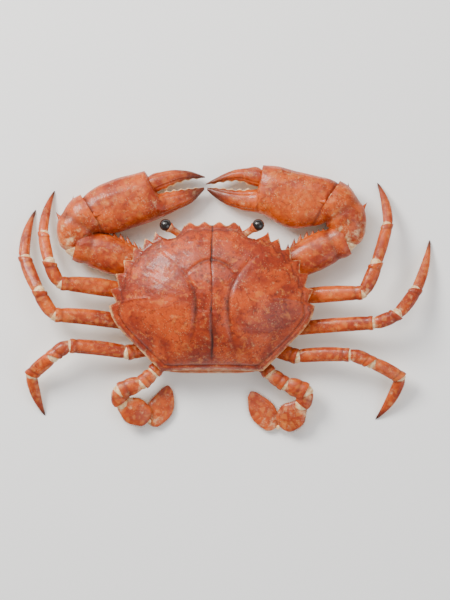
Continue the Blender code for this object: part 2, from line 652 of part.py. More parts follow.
def claw_pieces(name, claw):
    """The makers of a claw's pieces, from the hip under the shell to the moving finger."""
    def part(key, thickness, nest=0.0):
        path = claw[key]
        return tube(path["start"], path["end"], path["widths"], thickness, path["bow"], nest, CLAW_NOSES,
                    CLAW_NOSE_ROWS, CLAW_AROUND)

    return [
        (f"{name}_hip", part("hip", HIP_THICKNESS)),
        (f"{name}_arm", part("arm", ARM_THICKNESS)),
        (f"{name}_wrist", part("wrist", WRIST_THICKNESS, WRIST_NEST_DEPTH)),
        (f"{name}_hand", hand_maker(claw)),
        (f"{name}_finger", finger_maker(claw)),
    ]


def add_thorns(claw, arm, wrist, hand):
    """The thorns along the arm's front, on the wrist's outer side and at the palm's far corner."""
    combine(arm, edge_thorns(claw["arm"], -claw["side"], ARM_THORNS), "UNION")
    combine(wrist, edge_thorns(claw["wrist"], claw["side"], WRIST_THORNS), "UNION")
    angle = np.radians(claw["angle"])
    heading = np.array((np.cos(angle), np.sin(angle), 0.0))
    towards_finger = right_of(heading) * claw["side"]
    foot = (np.array((*claw["root"], PALM_THORN["z"])) + heading * (claw["cleft"][0] - PALM_THORN["back"])
            + towards_finger * PALM_THORN["up"])
    combine(hand, [thorn(foot, heading + towards_finger * PALM_THORN["lean"], PALM_THORN["length"],
                         PALM_THORN["radius"])], "UNION")


def leg_pieces(name, limb, segments, thickness):
    """The makers of a walking or swimming leg's pieces."""
    ends = zip(limb["joints"], limb["joints"][1:])
    pieces = []
    for segment, (start, end), widths, thick, bow in zip(segments, ends, limb["widths"], thickness, limb["bows"]):
        pieces.append((f"{name}_{segment}", tube(start, end, widths, thick, bow)))
    if "blade" in limb:
        blade = limb["blade"]
        pieces.append((f"{name}_blade", tube(blade["start"], blade["end"], BLADE_WIDTHS, BLADE_THICKNESS,
                                             blade["bow"], nest=0.0, noses=BLADE_NOSES)))
    return pieces


def main():
    for obj in list(bpy.data.objects):
        bpy.data.objects.remove(obj)

    shell = make_shell()
    underbody = make_underbody()
    tail = make_tail("tail_flap")
    pieces = [shell, underbody, tail]
    combine(underbody, [make_tail("tail_cutter", JOINT_GAP)], "DIFFERENCE")

    for name, side in (("eye_left", -1), ("eye_right", 1)):
        make = eye_maker(side)
        pieces.append(make(name))
        combine(shell, [make(f"{name}_cutter", JOINT_GAP)], "DIFFERENCE")

    limbs = [leg_pieces(name, leg, LEG_SEGMENTS, LEG_THICKNESS) for name, leg in LEGS.items()]
    limbs += [leg_pieces(name, leg, PADDLE_SEGMENTS, PADDLE_THICKNESS) for name, leg in PADDLES.items()]
    for limb in limbs:
        pieces += nested(limb)
    for name, claw in CLAWS.items():
        limbs.append(claw_pieces(name, claw))
        hip, arm, wrist, hand, finger = nested(limbs[-1])
        add_thorns(claw, arm, wrist, hand)
        pieces += [hip, arm, wrist, hand, finger]
    sockets = [make(f"{name}_cutter", JOINT_GAP) for limb in limbs for name, make in limb[:2]]
    combine(underbody, sockets, "DIFFERENCE")

    crab = bpy.data.collections.new("cooked_crab")
    bpy.context.scene.collection.children.link(crab)
    for piece in pieces:
        finish_mesh(piece)
        bpy.context.scene.collection.objects.unlink(piece)
        crab.objects.link(piece)


main()
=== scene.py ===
import bpy
import numpy as np
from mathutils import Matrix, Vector


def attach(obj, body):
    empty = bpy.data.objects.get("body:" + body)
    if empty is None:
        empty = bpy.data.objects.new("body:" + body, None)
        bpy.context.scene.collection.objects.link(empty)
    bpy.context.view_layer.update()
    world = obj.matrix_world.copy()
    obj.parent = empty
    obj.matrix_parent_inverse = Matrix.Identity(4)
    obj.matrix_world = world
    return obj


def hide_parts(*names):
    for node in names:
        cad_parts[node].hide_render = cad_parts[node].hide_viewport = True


# A boiled mud crab, seen from straight above. Sizes are in millimetres until a mesh is made.

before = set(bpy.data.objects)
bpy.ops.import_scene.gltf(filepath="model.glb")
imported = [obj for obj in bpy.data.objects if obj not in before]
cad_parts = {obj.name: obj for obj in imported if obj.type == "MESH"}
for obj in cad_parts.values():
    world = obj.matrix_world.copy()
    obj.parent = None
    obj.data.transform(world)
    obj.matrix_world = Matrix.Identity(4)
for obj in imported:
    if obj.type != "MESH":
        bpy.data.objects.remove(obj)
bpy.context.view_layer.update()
millimetre = 0.001


# Curves and small sums

def smooth(points, u):
    # cubic through (position, value) points: y0 (1+2s)(1-s)^2 + y1 s^2 (3-2s) + slopes, with s from 0 to 1
    # in each span
    x, y = np.array(points, float).T
    slope = np.gradient(y, x)
    i = np.clip(np.searchsorted(x, u) - 1, 0, len(x) - 2)
    span = x[i + 1] - x[i]
    s = np.clip((u - x[i]) / span, 0, 1)
    ends = y[i] * (1 + 2 * s) * (1 - s) ** 2 + y[i + 1] * s * s * (3 - 2 * s)
    return ends + span * (slope[i] * s * (1 - s) ** 2 - slope[i + 1] * s * s * (1 - s))


def even(values, t):
    # the same cubic, its values set evenly from t = 0 to t = 1
    return smooth(tuple(zip(np.linspace(0, 1, len(values)), values)), t)


def ramp(x, low, high):
    # 0 below low, 1 above high, 3s^2 - 2s^3 between
    s = np.clip((x - low) / (high - low), 0, 1)
    return s * s * (3 - 2 * s)


def fall(x, low, high):
    # 1 below low, 0 above high
    return ramp(-x, -high, -low)


def bell(x, middle, width):
    # exp(-((x - middle) / width)^2)
    return np.exp(-(((x - middle) / width) ** 2))


def unit(v):
    return v / np.linalg.norm(v, axis=-1, keepdims=True)


def towardsEnd(start, end):
    # the direction from start to end
    return unit(np.subtract(end, start).astype(float))


def rightOf(heading):
    # the level direction to the right of a heading
    return unit(np.cross(heading, (0.0, 0.0, 1.0)))


def circle(count):
    # angles evenly round a circle
    return np.linspace(0, 2 * np.pi, count, endpoint=False)


def uneven(points, size, seed):
    # a gentle unevenness from -1 to 1: the mean of seven sine waves in random directions, each about size long
    random = np.random.default_rng(seed)
    total = 0.0
    for _ in range(7):
        direction = unit(random.normal(size=3))
        wave = size * random.uniform(0.7, 1.6)
        total = total + np.sin(points @ direction * 2 * np.pi / wave + random.uniform(0, 2 * np.pi))
    return total / 7


# Skins: grids of points closed round a ring and shut by a pole at each end

def outward(rows):
    # normals of a ring grid: the cross product of the steps round a ring and from ring to ring
    roundStep = np.roll(rows, -1, axis=1) - np.roll(rows, 1, axis=1)
    alongStep = np.gradient(rows, axis=0)
    normal = np.cross(roundStep, alongStep)
    normal /= np.maximum(np.linalg.norm(normal, axis=-1, keepdims=True), 1e-9)
    middle = rows.mean(axis=1, keepdims=True)
    return normal * np.sign(np.sum(normal * (rows - middle)))


def emboss(rows, height):
    # moves each point along its normal by height: raised where positive, pressed in where negative
    return rows + outward(rows) * height[..., None]


def swept(centres, wide, side, tall, up):
    # rings round a line: each point lies wide to one side of its centre and tall above it
    return centres + wide[..., None] * side + tall[..., None] * up


def skin(name, rows, firstPole, lastPole, material, marks=None):
    # points rows[i, j]; quads between ring i and i + 1, fans to the poles; marks are grids of 0 to 1
    ringCount, around = rows.shape[:2]
    points = np.concatenate([[firstPole], rows.reshape(-1, 3), [lastPole]])
    j = np.arange(around)
    k = (j + 1) % around
    low = 1 + np.arange(ringCount - 1)[:, None] * around
    quads = np.stack([low + j, low + k, low + around + k, low + around + j], axis=-1).reshape(-1, 4)
    foot = 1 + (ringCount - 1) * around
    firstFan = np.stack([np.zeros_like(j), 1 + k, 1 + j], axis=-1)
    lastFan = np.stack([foot + j, foot + k, np.full_like(j, len(points) - 1)], axis=-1)
    triangles = np.concatenate([quads[:, :3], quads[:, [0, 2, 3]], firstFan, lastFan])
    a, b, c = (points[triangles[:, corner]] for corner in range(3))
    if np.sum(a * np.cross(b, c)) < 0:
        quads, firstFan, lastFan = quads[:, ::-1], firstFan[:, ::-1], lastFan[:, ::-1]
    corners = np.concatenate([quads.ravel(), firstFan.ravel(), lastFan.ravel()])
    starts = np.concatenate([np.arange(len(quads)) * 4, len(quads) * 4 + np.arange(2 * around) * 3])
    mesh = bpy.data.meshes.new(name)
    mesh.vertices.add(len(points))
    mesh.vertices.foreach_set("co", (points * millimetre).ravel())
    mesh.loops.add(len(corners))
    mesh.loops.foreach_set("vertex_index", corners)
    mesh.polygons.add(len(starts))
    mesh.polygons.foreach_set("loop_start", starts)
    mesh.update(calc_edges=True)
    mesh.validate()
    mesh.shade_smooth()
    for mark, values in (marks or {}).items():
        values = np.broadcast_to(values, (ringCount, around))
        whole = np.concatenate([[values[0].mean()], values.ravel(), [values[-1].mean()]])
        mesh.attributes.new(mark, "FLOAT", "POINT").data.foreach_set("value", np.clip(whole, 0, 1))
    return pieceFrom(mesh, name, material)


def poledSkin(name, rows, material, marks=None):
    # a grid whose first and last rings have shrunk to points, which become its poles
    inner = {key: np.broadcast_to(values, rows.shape[:2])[1:-1] for key, values in (marks or {}).items()}
    return skin(name, rows[1:-1], rows[0].mean(axis=0), rows[-1].mean(axis=0), material, inner)


def turnedSkin(name, foot, heading, reach, radius, around, material, marks):
    # a round solid: its radius at each distance that it reaches along heading from its foot
    across = rightOf(heading)
    up = np.cross(across, heading)
    a = circle(around)
    ring = np.cos(a)[:, None] * across + np.sin(a)[:, None] * up
    rows = foot + reach[:, None, None] * heading + radius[:, None, None] * ring
    return poledSkin(name, rows, material, marks)


def pieceFrom(mesh, name, material):
    piece = bpy.data.objects.new(name, mesh)
    bpy.context.scene.collection.objects.link(piece)
    mesh.materials.append(material)
    return piece


def settle(piece, slotName, *nodes):
    # every piece of the crab rides on its one body
    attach(piece, "root")
    if nodes:
        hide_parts(*nodes)
    return piece


def joined(name, meshes):
    # several skins made into one piece, their points and marks kept
    bpy.ops.object.select_all(action="DESELECT")
    for mesh in meshes:
        mesh.select_set(True)
    bpy.context.view_layer.objects.active = meshes[0]
    bpy.ops.object.join()
    whole = bpy.context.view_layer.objects.active
    whole.name = name
    whole.data.name = name
    return whole


# Materials

def colour(code):
    # sRGB hex to linear: c / 12.92 for dark values, ((c + 0.055) / 1.055)^2.4 above
    part = np.array([int(code[i:i + 2], 16) / 255 for i in (0, 2, 4)])
    linear = np.where(part <= 0.04045, part / 12.92, ((part + 0.055) / 1.055) ** 2.4)
    return (*linear.tolist(), 1.0)


def setInputs(tree, node, inputs):
    # a link where the value is another node's output, or else a constant
    for socket, value in inputs.items():
        if isinstance(value, bpy.types.NodeSocket):
            tree.links.new(value, node.inputs[socket])
        else:
            node.inputs[socket].default_value = value


def addNode(tree, kind, inputs=None, **settings):
    node = tree.nodes.new("ShaderNode" + kind)
    for setting, value in settings.items():
        setattr(node, setting, value)
    setInputs(tree, node, inputs or {})
    return node


def newMaterial(name):
    material = bpy.data.materials.new(name)
    material.use_nodes = True
    tree = material.node_tree
    return material, tree, tree.nodes["Principled BSDF"], addNode(tree, "TexCoord").outputs["Object"]


def pattern(tree, place, size, span=None, amount=(0.0, 1.0), grit=(3.0, 0.5, 0.0), cells=None):
    # Noise with its blotches size millimetres apart, or the distance within cells of that size. Over the span
    # it goes smoothly from the first amount to the second. The grit is detail, roughness and distortion.
    inputs = {"Vector": place, "Scale": 1 / (size * millimetre)}
    if cells:
        value = addNode(tree, "TexVoronoi", inputs, feature=cells).outputs["Distance"]
    else:
        inputs.update(zip(("Detail", "Roughness", "Distortion"), grit))
        value = addNode(tree, "TexNoise", inputs).outputs["Fac"]
    if span:
        value = addNode(tree, "MapRange", {0: value, 1: span[0], 2: span[1], 3: amount[0], 4: amount[1]},
                        interpolation_type="SMOOTHSTEP").outputs[0]
    return value


def raggedMark(tree, place, name, size, spread, span, grit):
    # a skin's own mark plus noise times spread, so that its edge is ragged
    noise = pattern(tree, place, size, grit=grit)
    mark = addNode(tree, "Attribute", attribute_name=name).outputs["Fac"]
    edge = addNode(tree, "Math", {0: noise, 1: spread, 2: mark}, operation="MULTIPLY_ADD").outputs[0]
    return addNode(tree, "MapRange", {0: edge, 1: span[0], 2: span[1]},
                   interpolation_type="SMOOTHSTEP").outputs[0]


def layered(tree, ground, *layers):
    # the ground colour, with each layer's colour mixed over it by the layer's own share
    base = colour(ground)
    for share, code in layers:
        base = addNode(tree, "Mix", {0: share, 6: base, 7: colour(code)}, data_type="RGBA").outputs[2]
    return base


cookedFinish = {
    "roughness": (0.36, 0.54),
    "specular": 0.34,
    "coat": 0.18,
    "coatRoughness": 0.11,
    "blotchSize": 19.0,
    "mottleSize": 4.6,
    "fleckSize": 2.1,
    "cellSize": 5.5,
    "grainSize": 1.4,
    "waveSize": 3.0,
    "pitSize": 0.6,
    "reliefDepth": 0.11,
}


def cookedShell(name, colours, mottle=1.0, cells=0.0, grain=1.0):
    # Boiled crab shell, chitin and lime: the heat turns its pigment orange-red. It gives the eye warm blotches,
    # a net of darker mottling with small dark flecks, pale grains here and there, and a wet sheen over a half
    # matt ground. The claws and legs also keep the faint many-sided cells that the raw shell is marked with.
    finish, mottleSize = cookedFinish, cookedFinish["mottleSize"]
    material, tree, shader, place = newMaterial(name)
    deep, tip = (addNode(tree, "Attribute", attribute_name=mark).outputs["Fac"] for mark in ("deep", "tip"))
    grains = addNode(tree, "Math", {
        0: pattern(tree, place, finish["grainSize"], (0.14, 0.34), (0.30 * grain, 0.0), cells="F1"),
        1: pattern(tree, place, 9.0, (0.45, 0.6), grit=(3.0, 0.6, 0.0))}, operation="MULTIPLY").outputs[0]
    base = layered(
        tree, colours["deep"],
        (pattern(tree, place, finish["blotchSize"], (0.36, 0.64), grit=(4.0, 0.55, 0.6)), colours["bright"]),
        (pattern(tree, place, mottleSize, (0.48, 0.68), (0.0, 0.75 * mottle), (6.0, 0.62, 1.4)),
         colours["brick"]),
        (pattern(tree, place, mottleSize * 1.7, (0.30, 0.46), (0.55 * mottle, 0.0), (5.0, 0.6, 0.9)),
         colours["pale"]),
        (pattern(tree, place, finish["cellSize"], (0.12, 0.36), (0.0, cells), cells="DISTANCE_TO_EDGE"),
         colours["pale"]),
        (pattern(tree, place, finish["fleckSize"], (0.62, 0.72), (0.0, 0.6 * mottle), (3.0, 0.7, 0.0)),
         colours["darkFleckAndShade"]),
        (grains, colours["cream"]),
        (raggedMark(tree, place, "pale", 5.0, 1.9, (1.05, 1.85), (5.0, 0.65, 0.0)), colours["cream"]),
        # painted shade: the deep mark darkens grooves, folds and the gaps between parts
        (deep, colours["darkFleckAndShade"]),
        (tip, colours["tip"]))
    waves = addNode(tree, "Math", {
        0: pattern(tree, place, finish["waveSize"], grit=(2.0, 0.5, 0.0)), 1: 3.0,
        2: pattern(tree, place, finish["pitSize"], grit=(3.0, 0.65, 0.0))}, operation="MULTIPLY_ADD").outputs[0]
    domes = pattern(tree, place, finish["grainSize"], (0.0, 0.42), (grain, 0.0), cells="F1")
    height = addNode(tree, "Math", {0: domes, 1: 0.9, 2: waves}, operation="MULTIPLY_ADD").outputs[0]
    bump = addNode(tree, "Bump", {"Height": height, "Strength": 0.8,
                                  "Distance": finish["reliefDepth"] * millimetre})
    setInputs(tree, shader, {
        "Base Color": base, "Normal": bump.outputs["Normal"], "IOR": 1.5,
        "Roughness": pattern(tree, place, 2.6, (0.3, 0.7), finish["roughness"], (4.0, 0.6, 0.0)),
        "Specular IOR Level": finish["specular"], "Coat Weight": finish["coat"],
        "Coat Roughness": finish["coatRoughness"], "Subsurface Weight": 0.05,
        "Subsurface Radius": (1.0, 0.35, 0.15), "Subsurface Scale": 1.0 * millimetre})
    return material


def cookedBelly(name):
    # The thin lime-white shell of the underside, boiled: cream, flushed with orange at the edges, hardly
    # glossy.
    material, tree, shader, place = newMaterial(name)
    deep = addNode(tree, "Attribute", attribute_name="deep").outputs["Fac"]
    base = layered(
        tree, "E9D6B2",
        (pattern(tree, place, 11.0, (0.35, 0.7), grit=(4.0, 0.6, 0.4)), "DDB98A"),
        (raggedMark(tree, place, "flush", 5.0, 0.9, (0.50, 1.25), (5.0, 0.6, 0.8)), "C4602C"),
        # painted shade: the deep mark darkens grooves, seams, folds and the edges of the mouth plates
        (deep, "7E4A28"))
    bump = addNode(tree, "Bump", {"Height": pattern(tree, place, 0.8, grit=(4.0, 0.6, 0.0)), "Strength": 0.5,
                                  "Distance": 0.12 * millimetre})
    setInputs(tree, shader, {
        "Base Color": base, "Normal": bump.outputs["Normal"],
        "Roughness": pattern(tree, place, 2.0, (0.3, 0.7), (0.42, 0.6)),
        "Coat Weight": 0.12, "Coat Roughness": 0.3, "Subsurface Weight": 0.12,
        "Subsurface Radius": (1.0, 0.6, 0.35), "Subsurface Scale": 1.5 * millimetre})
    return material


def jointMembrane(name):
    # Soft leathery skin between two pieces of shell: ivory, wrinkled, damp.
    material, tree, shader, place = newMaterial(name)
    bump = addNode(tree, "Bump", {"Height": pattern(tree, place, 0.7, grit=(3.0, 0.6, 0.8)), "Strength": 0.6,
                                  "Distance": 0.15 * millimetre})
    setInputs(tree, shader, {
        "Base Color": layered(tree, "E8CFA0",
                              (pattern(tree, place, 2.4, (0.35, 0.65), grit=(4.0, 0.6, 0.0)), "D39A5E")),
        "Normal": bump.outputs["Normal"], "Roughness": 0.4, "Coat Weight": 0.3, "Coat Roughness": 0.25,
        "Subsurface Weight": 0.2, "Subsurface Radius": (1.0, 0.6, 0.3), "Subsurface Scale": 1.0 * millimetre})
    return material


def brownHair(name):
    # The hair on the paddles, the toes and round the mouth: brown and dull, darker here and there.
    material, tree, shader, place = newMaterial(name)
    base = layered(tree, "6E3E1C", (pattern(tree, place, 3.0, (0.3, 0.7)), "A8713A"))
    setInputs(tree, shader, {"Base Color": base, "Roughness": 0.6})
    return material


def eyeGloss(name):
    # The cornea of a boiled eye: black and smooth, with a faint brown net under a clear wet skin.
    material, tree, shader, place = newMaterial(name)
    net = pattern(tree, place, 0.8, (0.4, 0.6), (0.0, 0.5), (3.0, 0.6, 0.0))
    setInputs(tree, shader, {"Base Color": layered(tree, "0B0807", (net, "2A1710")), "Roughness": 0.24,
                             "Coat Weight": 0.25, "Coat Roughness": 0.06})
    return material


print("materials")
# the darkest colour serves both the real dark flecks and the painted shade in grooves
shellColours = {"deep": "862506", "bright": "B9430A", "brick": "5E1906", "pale": "D06F2A", "cream": "E3B27A",
                "darkFleckAndShade": "3C1005", "tip": "26100A"}
limbColours = {"deep": "8E2B07", "bright": "C04D0B", "brick": "6C2307", "pale": "D67D34", "cream": "E6C492",
               "darkFleckAndShade": "4A1807", "tip": "26100A"}
shellFinish = cookedShell("cooked_top_shell", shellColours)
clawFinish = cookedShell("cooked_claw_shell", limbColours, 0.8, 0.22, 0.8)
legFinish = cookedShell("cooked_leg_shell", limbColours, 0.6, 0.4, 0.6)
bellyFinish = cookedBelly("cooked_belly_shell")
membraneFinish = jointMembrane("joint_membrane")
eyeFinish = eyeGloss("boiled_eye")
hairFinish = brownHair("fringe_hair")


# Top shell

shell = {
    "width": 150.0,
    "top": 54.0,
    "centre": (0.0, 2.0),
    "crown": (71.0, 54.0),       # half sizes of the oval that its rings start from
    "rim": 29.0,
    "seam": 22.5,
    "slope": 0.07,               # the edge falls towards the tail
    "edge": 0.9,
    "seamGap": 0.35,
    "sideTeeth": 7,
    "toothDepth": 5.2,
    "ellipse": (-4.4, 64.3),     # middle and half length of the oval that the tooth tips lie on
    "firstTooth": 57.0,          # degrees forward of the widest line
    "toothSpacing": 1.15,
    "brow": 57.0,
    "browCurve": 0.002,
    "browPitch": 10.7,
    "browDepth": 2.8,
    "socketStart": 20.0,
    "socketDepth": 8.0,
    "flank": ((75.0, -4.4), (72.5, -13.0), (66.5, -22.0), (57.2, -31.5), (46.5, -42.5), (37.5, -51.5)),
    "tail": (-50.5, 1.5, 32.0),  # line, hollow and half width of the rear edge
    # swellings on each side: across, along, their two widths and their height
    "lobes": ((38, -4, 24, 24, 1.6), (12, 38, 9, 9, 0.9), (36, 30, 12, 9, 0.8), (0, -17, 7, 9, 0.9),
              (0, 10, 8, 11, 0.6)),
    "grooves": {"furrow": 1.5, "arch": 0.9, "cross": 0.45, "middle": 1.0},
    "ridges": {"side": 0.55, "brow": 0.45},
    "edgeGroove": (0.42, 0.38),  # its depth, and how much deeper it is at the flanks and the tail
    "bead": 0.45,
    "notchFurrow": 16.0,
    "uneven": ((0.16, 9.0, 3), (0.07, 3.2, 4)),  # height, size and seed
    "samples": {"brow": 44, "socket": 34, "tooth": 24, "flank": 60, "tail": 34},
}
shellCentre = np.array(shell["centre"])


def sideEdge(angle):
    # x = half width cos a, y = middle + half length sin a
    middle, halfLength = shell["ellipse"]
    return np.column_stack([shell["width"] / 2 * np.cos(angle), middle + halfLength * np.sin(angle)])


def toothAngle(k):
    # the teeth close up towards the eye: a_k = a_0 (1 - (k / last)^1.15)
    return np.radians(shell["firstTooth"]) * (1 - (k / (shell["sideTeeth"] - 1)) ** shell["toothSpacing"])


def browEdge():
    # y = brow - curve x^2, less a cosine notch every pitch
    x = np.linspace(0, shell["socketStart"], shell["samples"]["brow"])
    line = np.column_stack([x, shell["brow"] - shell["browCurve"] * x * x])
    notch = shell["browDepth"] * (0.5 + 0.5 * np.cos(2 * np.pi * x / shell["browPitch"])) ** 0.8
    return line, line - np.outer(notch, (0, 1))


def socketEdge():
    # a sine hollow between the brow and the first side tooth, with two short clefts in its rim
    s = np.linspace(0, 1, shell["samples"]["socket"] + 2)[1:-1]
    start, end = browEdge()[0][-1], sideEdge(toothAngle(0))[0]
    line = start + np.outer(s, end - start)
    clefts = bell(s, 0.42, 0.025) + bell(s, 0.68, 0.025)
    depth = shell["socketDepth"] * np.sin(np.pi * s) ** 0.7 + 0.9 * clefts
    return line, line - np.outer(depth, (0.25, 1))


def toothEdge(k):
    # back from a tip in a shallow curve to the notch, then sharply out to the next tip
    s = np.linspace(0, 1, shell["samples"]["tooth"], endpoint=False)
    depth = shell["toothDepth"] * np.interp(s, (0, 0.12, 0.3, 0.58, 0.76, 0.84, 0.92, 1),
                                            (0, 0.14, 0.43, 0.82, 1.0, 0.94, 0.42, 0))
    line = sideEdge(toothAngle(k) + s * (toothAngle(k + 1) - toothAngle(k)))
    return line, line - depth[:, None] * unit(line - shellCentre)


def rearEdge():
    s = np.linspace(0, 1, shell["samples"]["flank"])
    flank = np.column_stack([even(column, s) for column in zip(*shell["flank"])])
    y, hollow, halfWidth = shell["tail"]
    x = halfWidth * np.linspace(1, 0, shell["samples"]["tail"])
    return (np.concatenate([flank, np.column_stack([x, y - hollow * (x / halfWidth) ** 2])]),) * 2


def shellOutline():
    # the edge all round, once as a smooth envelope and once with its teeth
    stretches = [browEdge(), socketEdge(), *[toothEdge(k) for k in range(shell["sideTeeth"] - 1)], rearEdge()]
    whole = []
    for stretch in zip(*stretches):
        half = np.concatenate(stretch)
        whole.append(np.concatenate([half, half[-2:0:-1] * (-1, 1)]))
    return whole


envelope, toothed = shellOutline()
fromCentre = envelope - shellCentre
crownOval = fromCentre / np.linalg.norm(fromCentre / np.array(shell["crown"]), axis=1, keepdims=True)
notchShare = 1 - np.linalg.norm(toothed - shellCentre, axis=1) / np.linalg.norm(fromCentre, axis=1)


def shellRing(share):
    # an oval near the crown, the envelope further out, the teeth only in the outer fifth
    teeth = np.clip((share - 0.8) / 0.2, 0, 1)
    rounded = crownOval + (fromCentre - crownOval) * share**2
    return shellCentre + share * (rounded + teeth * (toothed - envelope)), share * (1 - teeth * notchShare)


def rimZ(y):
    return shell["rim"] + shell["slope"] * y


def seamZ(y):
    return shell["seam"] + shell["slope"] * y


def middleLine(x, y):
    # the groove down the middle wanders a little, and widens towards the tail
    wander = 0.28 * np.sin(y / 6.3) + 0.14 * np.sin(y / 2.6 + 1)
    return bell(x - wander, 0, 0.8 + 0.6 * bell(y, -22, 13)) * ramp(y, -47, -41)


def shellRelief(x, y):
    # swellings as bells over the lobes, grooves as bells across their lines, in millimetres
    side = np.abs(x)
    groove, ridge = shell["grooves"], shell["ridges"]
    lobes = sum(height * bell(side, across, wide) * bell(y, along, long)
                for across, along, wide, long, height in shell["lobes"])
    furrowX = 11.7 + np.where(y > -3.6, 0.0156, 0.005) * (y + 3.6) ** 2
    furrow = groove["furrow"] * bell(y, -4, 26) * bell(side, furrowX, 2.2)
    arch = groove["arch"] * bell(y - 29 + 0.03 * x * x, 0, 1.6) * np.exp(-((x / 18) ** 6))
    cross = groove["cross"] * bell(y + 7 - 0.004 * x * x, 0, 1.5) * np.exp(-((x / 13) ** 4))
    middle = groove["middle"] * middleLine(x, y) * (0.4 + 0.6 * bell(y, -18, 20) + 0.5 * bell(y, 36, 9))
    sideLine = y + 4 - 5.5 * np.sin((75 - side) / 30 * np.pi / 2)
    sideRidge = ridge["side"] * bell(sideLine, 0, 0.9) * ramp(side, 42, 52)
    browLine = y - 44 + 0.006 * x * x
    browRidge = ridge["brow"] * bell(browLine, 0, 0.8) * ramp(side, 2, 4) * fall(side, 15, 18)
    return lobes - furrow - arch - cross - middle + sideRidge + browRidge


def edgeRelief(share, y, toothNotch):
    # a groove just inside the edge leaves a bead along it, deepest at the flanks and the tail; shallow furrows
    # run inwards from the notches between the teeth
    rear = fall(y, -12, -2)
    depth, deeper = shell["edgeGroove"]
    groove = (depth + deeper * rear) * bell(share, 0.90 + 0.032 * rear, 0.012)
    bead = shell["bead"] * rear * bell(share, 0.965, 0.018)
    return bead - groove - shell["notchFurrow"] * toothNotch * ramp(share, 0.84, 0.96)


def shellTop(flat, share, toothNotch):
    # rim + (top - rim)(1 - share^2.3)^0.92 + relief
    dome = (1 - np.clip(share, 0, 1) ** 2.3) ** 0.92
    edge = rimZ(flat[:, 1])
    relief = shellRelief(flat[:, 0], flat[:, 1]) * np.clip(dome * 2, 0, 1)
    return edge + (shell["top"] - 0.8 - edge) * dome + relief + edgeRelief(share, flat[:, 1], toothNotch)


def makeTopShell():
    # rings from the crown to the edge, down it, in underneath to the seam, and flat to the middle
    shares = np.concatenate([np.linspace(0.012, 0.80, 62), np.linspace(0.808, 0.965, 30),
                             np.linspace(0.971, 0.995, 6), [1.0]])
    rows = []
    for share in shares:
        flat, fromCrown = shellRing(share)
        rows.append(np.column_stack([flat, shellTop(flat, fromCrown, notchShare)]))
    rows = np.array(rows)
    rows[:-1, :, 2] += sum(height * uneven(rows[:-1], size, seed) for height, size, seed in shell["uneven"])
    lowEdge = rows[-1] - np.outer(shell["edge"] + 22 * notchShare, (0, 0, 1))
    edge = [0.5 * (rows[-1] + lowEdge), lowEdge]
    under = []
    for share, drop in zip((0.975, 0.95, 0.92, 0.89, 0.86, 0.84), (0.12, 0.28, 0.45, 0.66, 0.86, 1.0)):
        flat = shellRing(share)[0]
        rim = rimZ(flat[:, 1]) - shell["edge"]
        z = rim + (seamZ(flat[:, 1]) + shell["seamGap"] / 2 - rim) * drop
        under.append(np.column_stack([flat, np.minimum(z, lowEdge[:, 2] - 0.15)]))
    flat = shellRing(0.4)[0]
    under.append(np.column_stack([flat, seamZ(flat[:, 1]) + shell["seamGap"] / 2]))
    rows = np.concatenate([rows, edge, under])
    topCount = len(shares)
    shares = shares[:, None]
    pale = np.zeros(rows.shape[:2])
    pale[topCount + 1:] = 0.75
    pale[:topCount] = 0.5 * ramp(shares, 0.965, 1.0)
    x, y = rows[:topCount, :, 0], rows[:topCount, :, 1]
    # painted shade: the colour is darkened along the grooves and the middle line, in soft patches on the back,
    # in the groove inside the edge and in the notches between the teeth; this goes into the deep mark
    shading = 0.85 * np.clip(-shellRelief(x, y) - 0.1, 0, 1) + 0.5 * middleLine(x, y)
    shading += 0.22 * (bell(x, 0, 4.5) * bell(y, -22, 17) + bell(np.abs(x), 9, 5) * bell(y, 27, 6))
    shading += 0.45 * bell(shares, 0.90 + 0.03 * fall(y, -12, -2), 0.012)
    shading += 4.0 * notchShare * ramp(shares, 0.86, 0.96)
    deep = np.zeros(rows.shape[:2])
    deep[:topCount] = shading
    top = (*shellCentre, shellTop(shellCentre[None], np.zeros(1), 0.0)[0])
    foot = (*shellCentre, seamZ(shellCentre[1]) + shell["seamGap"] / 2)
    piece = skin("crab_top_shell", rows, top, foot, shellFinish, {"pale": pale, "deep": deep, "tip": 0.0})
    return settle(piece, "shell", "top_shell")


makeTopShell()
print("top shell")


# Underbody and tail flap

underbody = {
    # height, and the shares of the shell's outline at the sides, in front and behind
    "rings": ((0.0, (0.42, 0.58, 0.76)), (0.6, (0.46, 0.62, 0.80)), (3.0, (0.54, 0.69, 0.86)),
              (9.0, (0.69, 0.78, 0.92)), (15.0, (0.80, 0.83, 0.94)), (22.0, (0.85, 0.86, 0.92))),
    "plateLines": (24.0, 10.0, -9.0, -27.0, -39.0),  # where the breast's plates meet, measured at the hips
    "plateLean": 0.16,
    "plateGroove": 1.0,
    "seamGroove": 0.5,
    "pocket": 2.9,  # how deep the breast is hollowed for the tail flap
    "mouth": {"halfWidth": 12.4, "palpWidth": 17.0, "low": 2.0, "high": 22.5, "fold": 16.5, "fade": 8.0,
              "plateHeight": 1.3, "palpHeight": 0.9, "foldDepth": 0.9},
}
tail = {
    "path": ((-48.5, 20.2), (-51.9, 17.0), (-51.4, 10.5), (-47.5, 4.2), (-41.0, 1.2), (-22.0, 1.1), (-4.0, 1.1),
             (7.0, 1.1)),
    "halfWidths": (31.0, 31.5, 26.0, 20.0, 16.0, 12.5, 9.0, 4.5),
    "halfThickness": 1.4,
    "length": 75.0,
    "noses": (2.5, 5.0),
    "folds": (0.10, 0.235, 0.38, 0.52, 0.66, 0.82),
}


def tailHalfWidth(y):
    at = np.linspace(0, 1, 200)
    along = even([p[0] for p in tail["path"]], at)
    flat = at > 0.5
    return np.interp(y, along[flat], even(tail["halfWidths"], at)[flat])


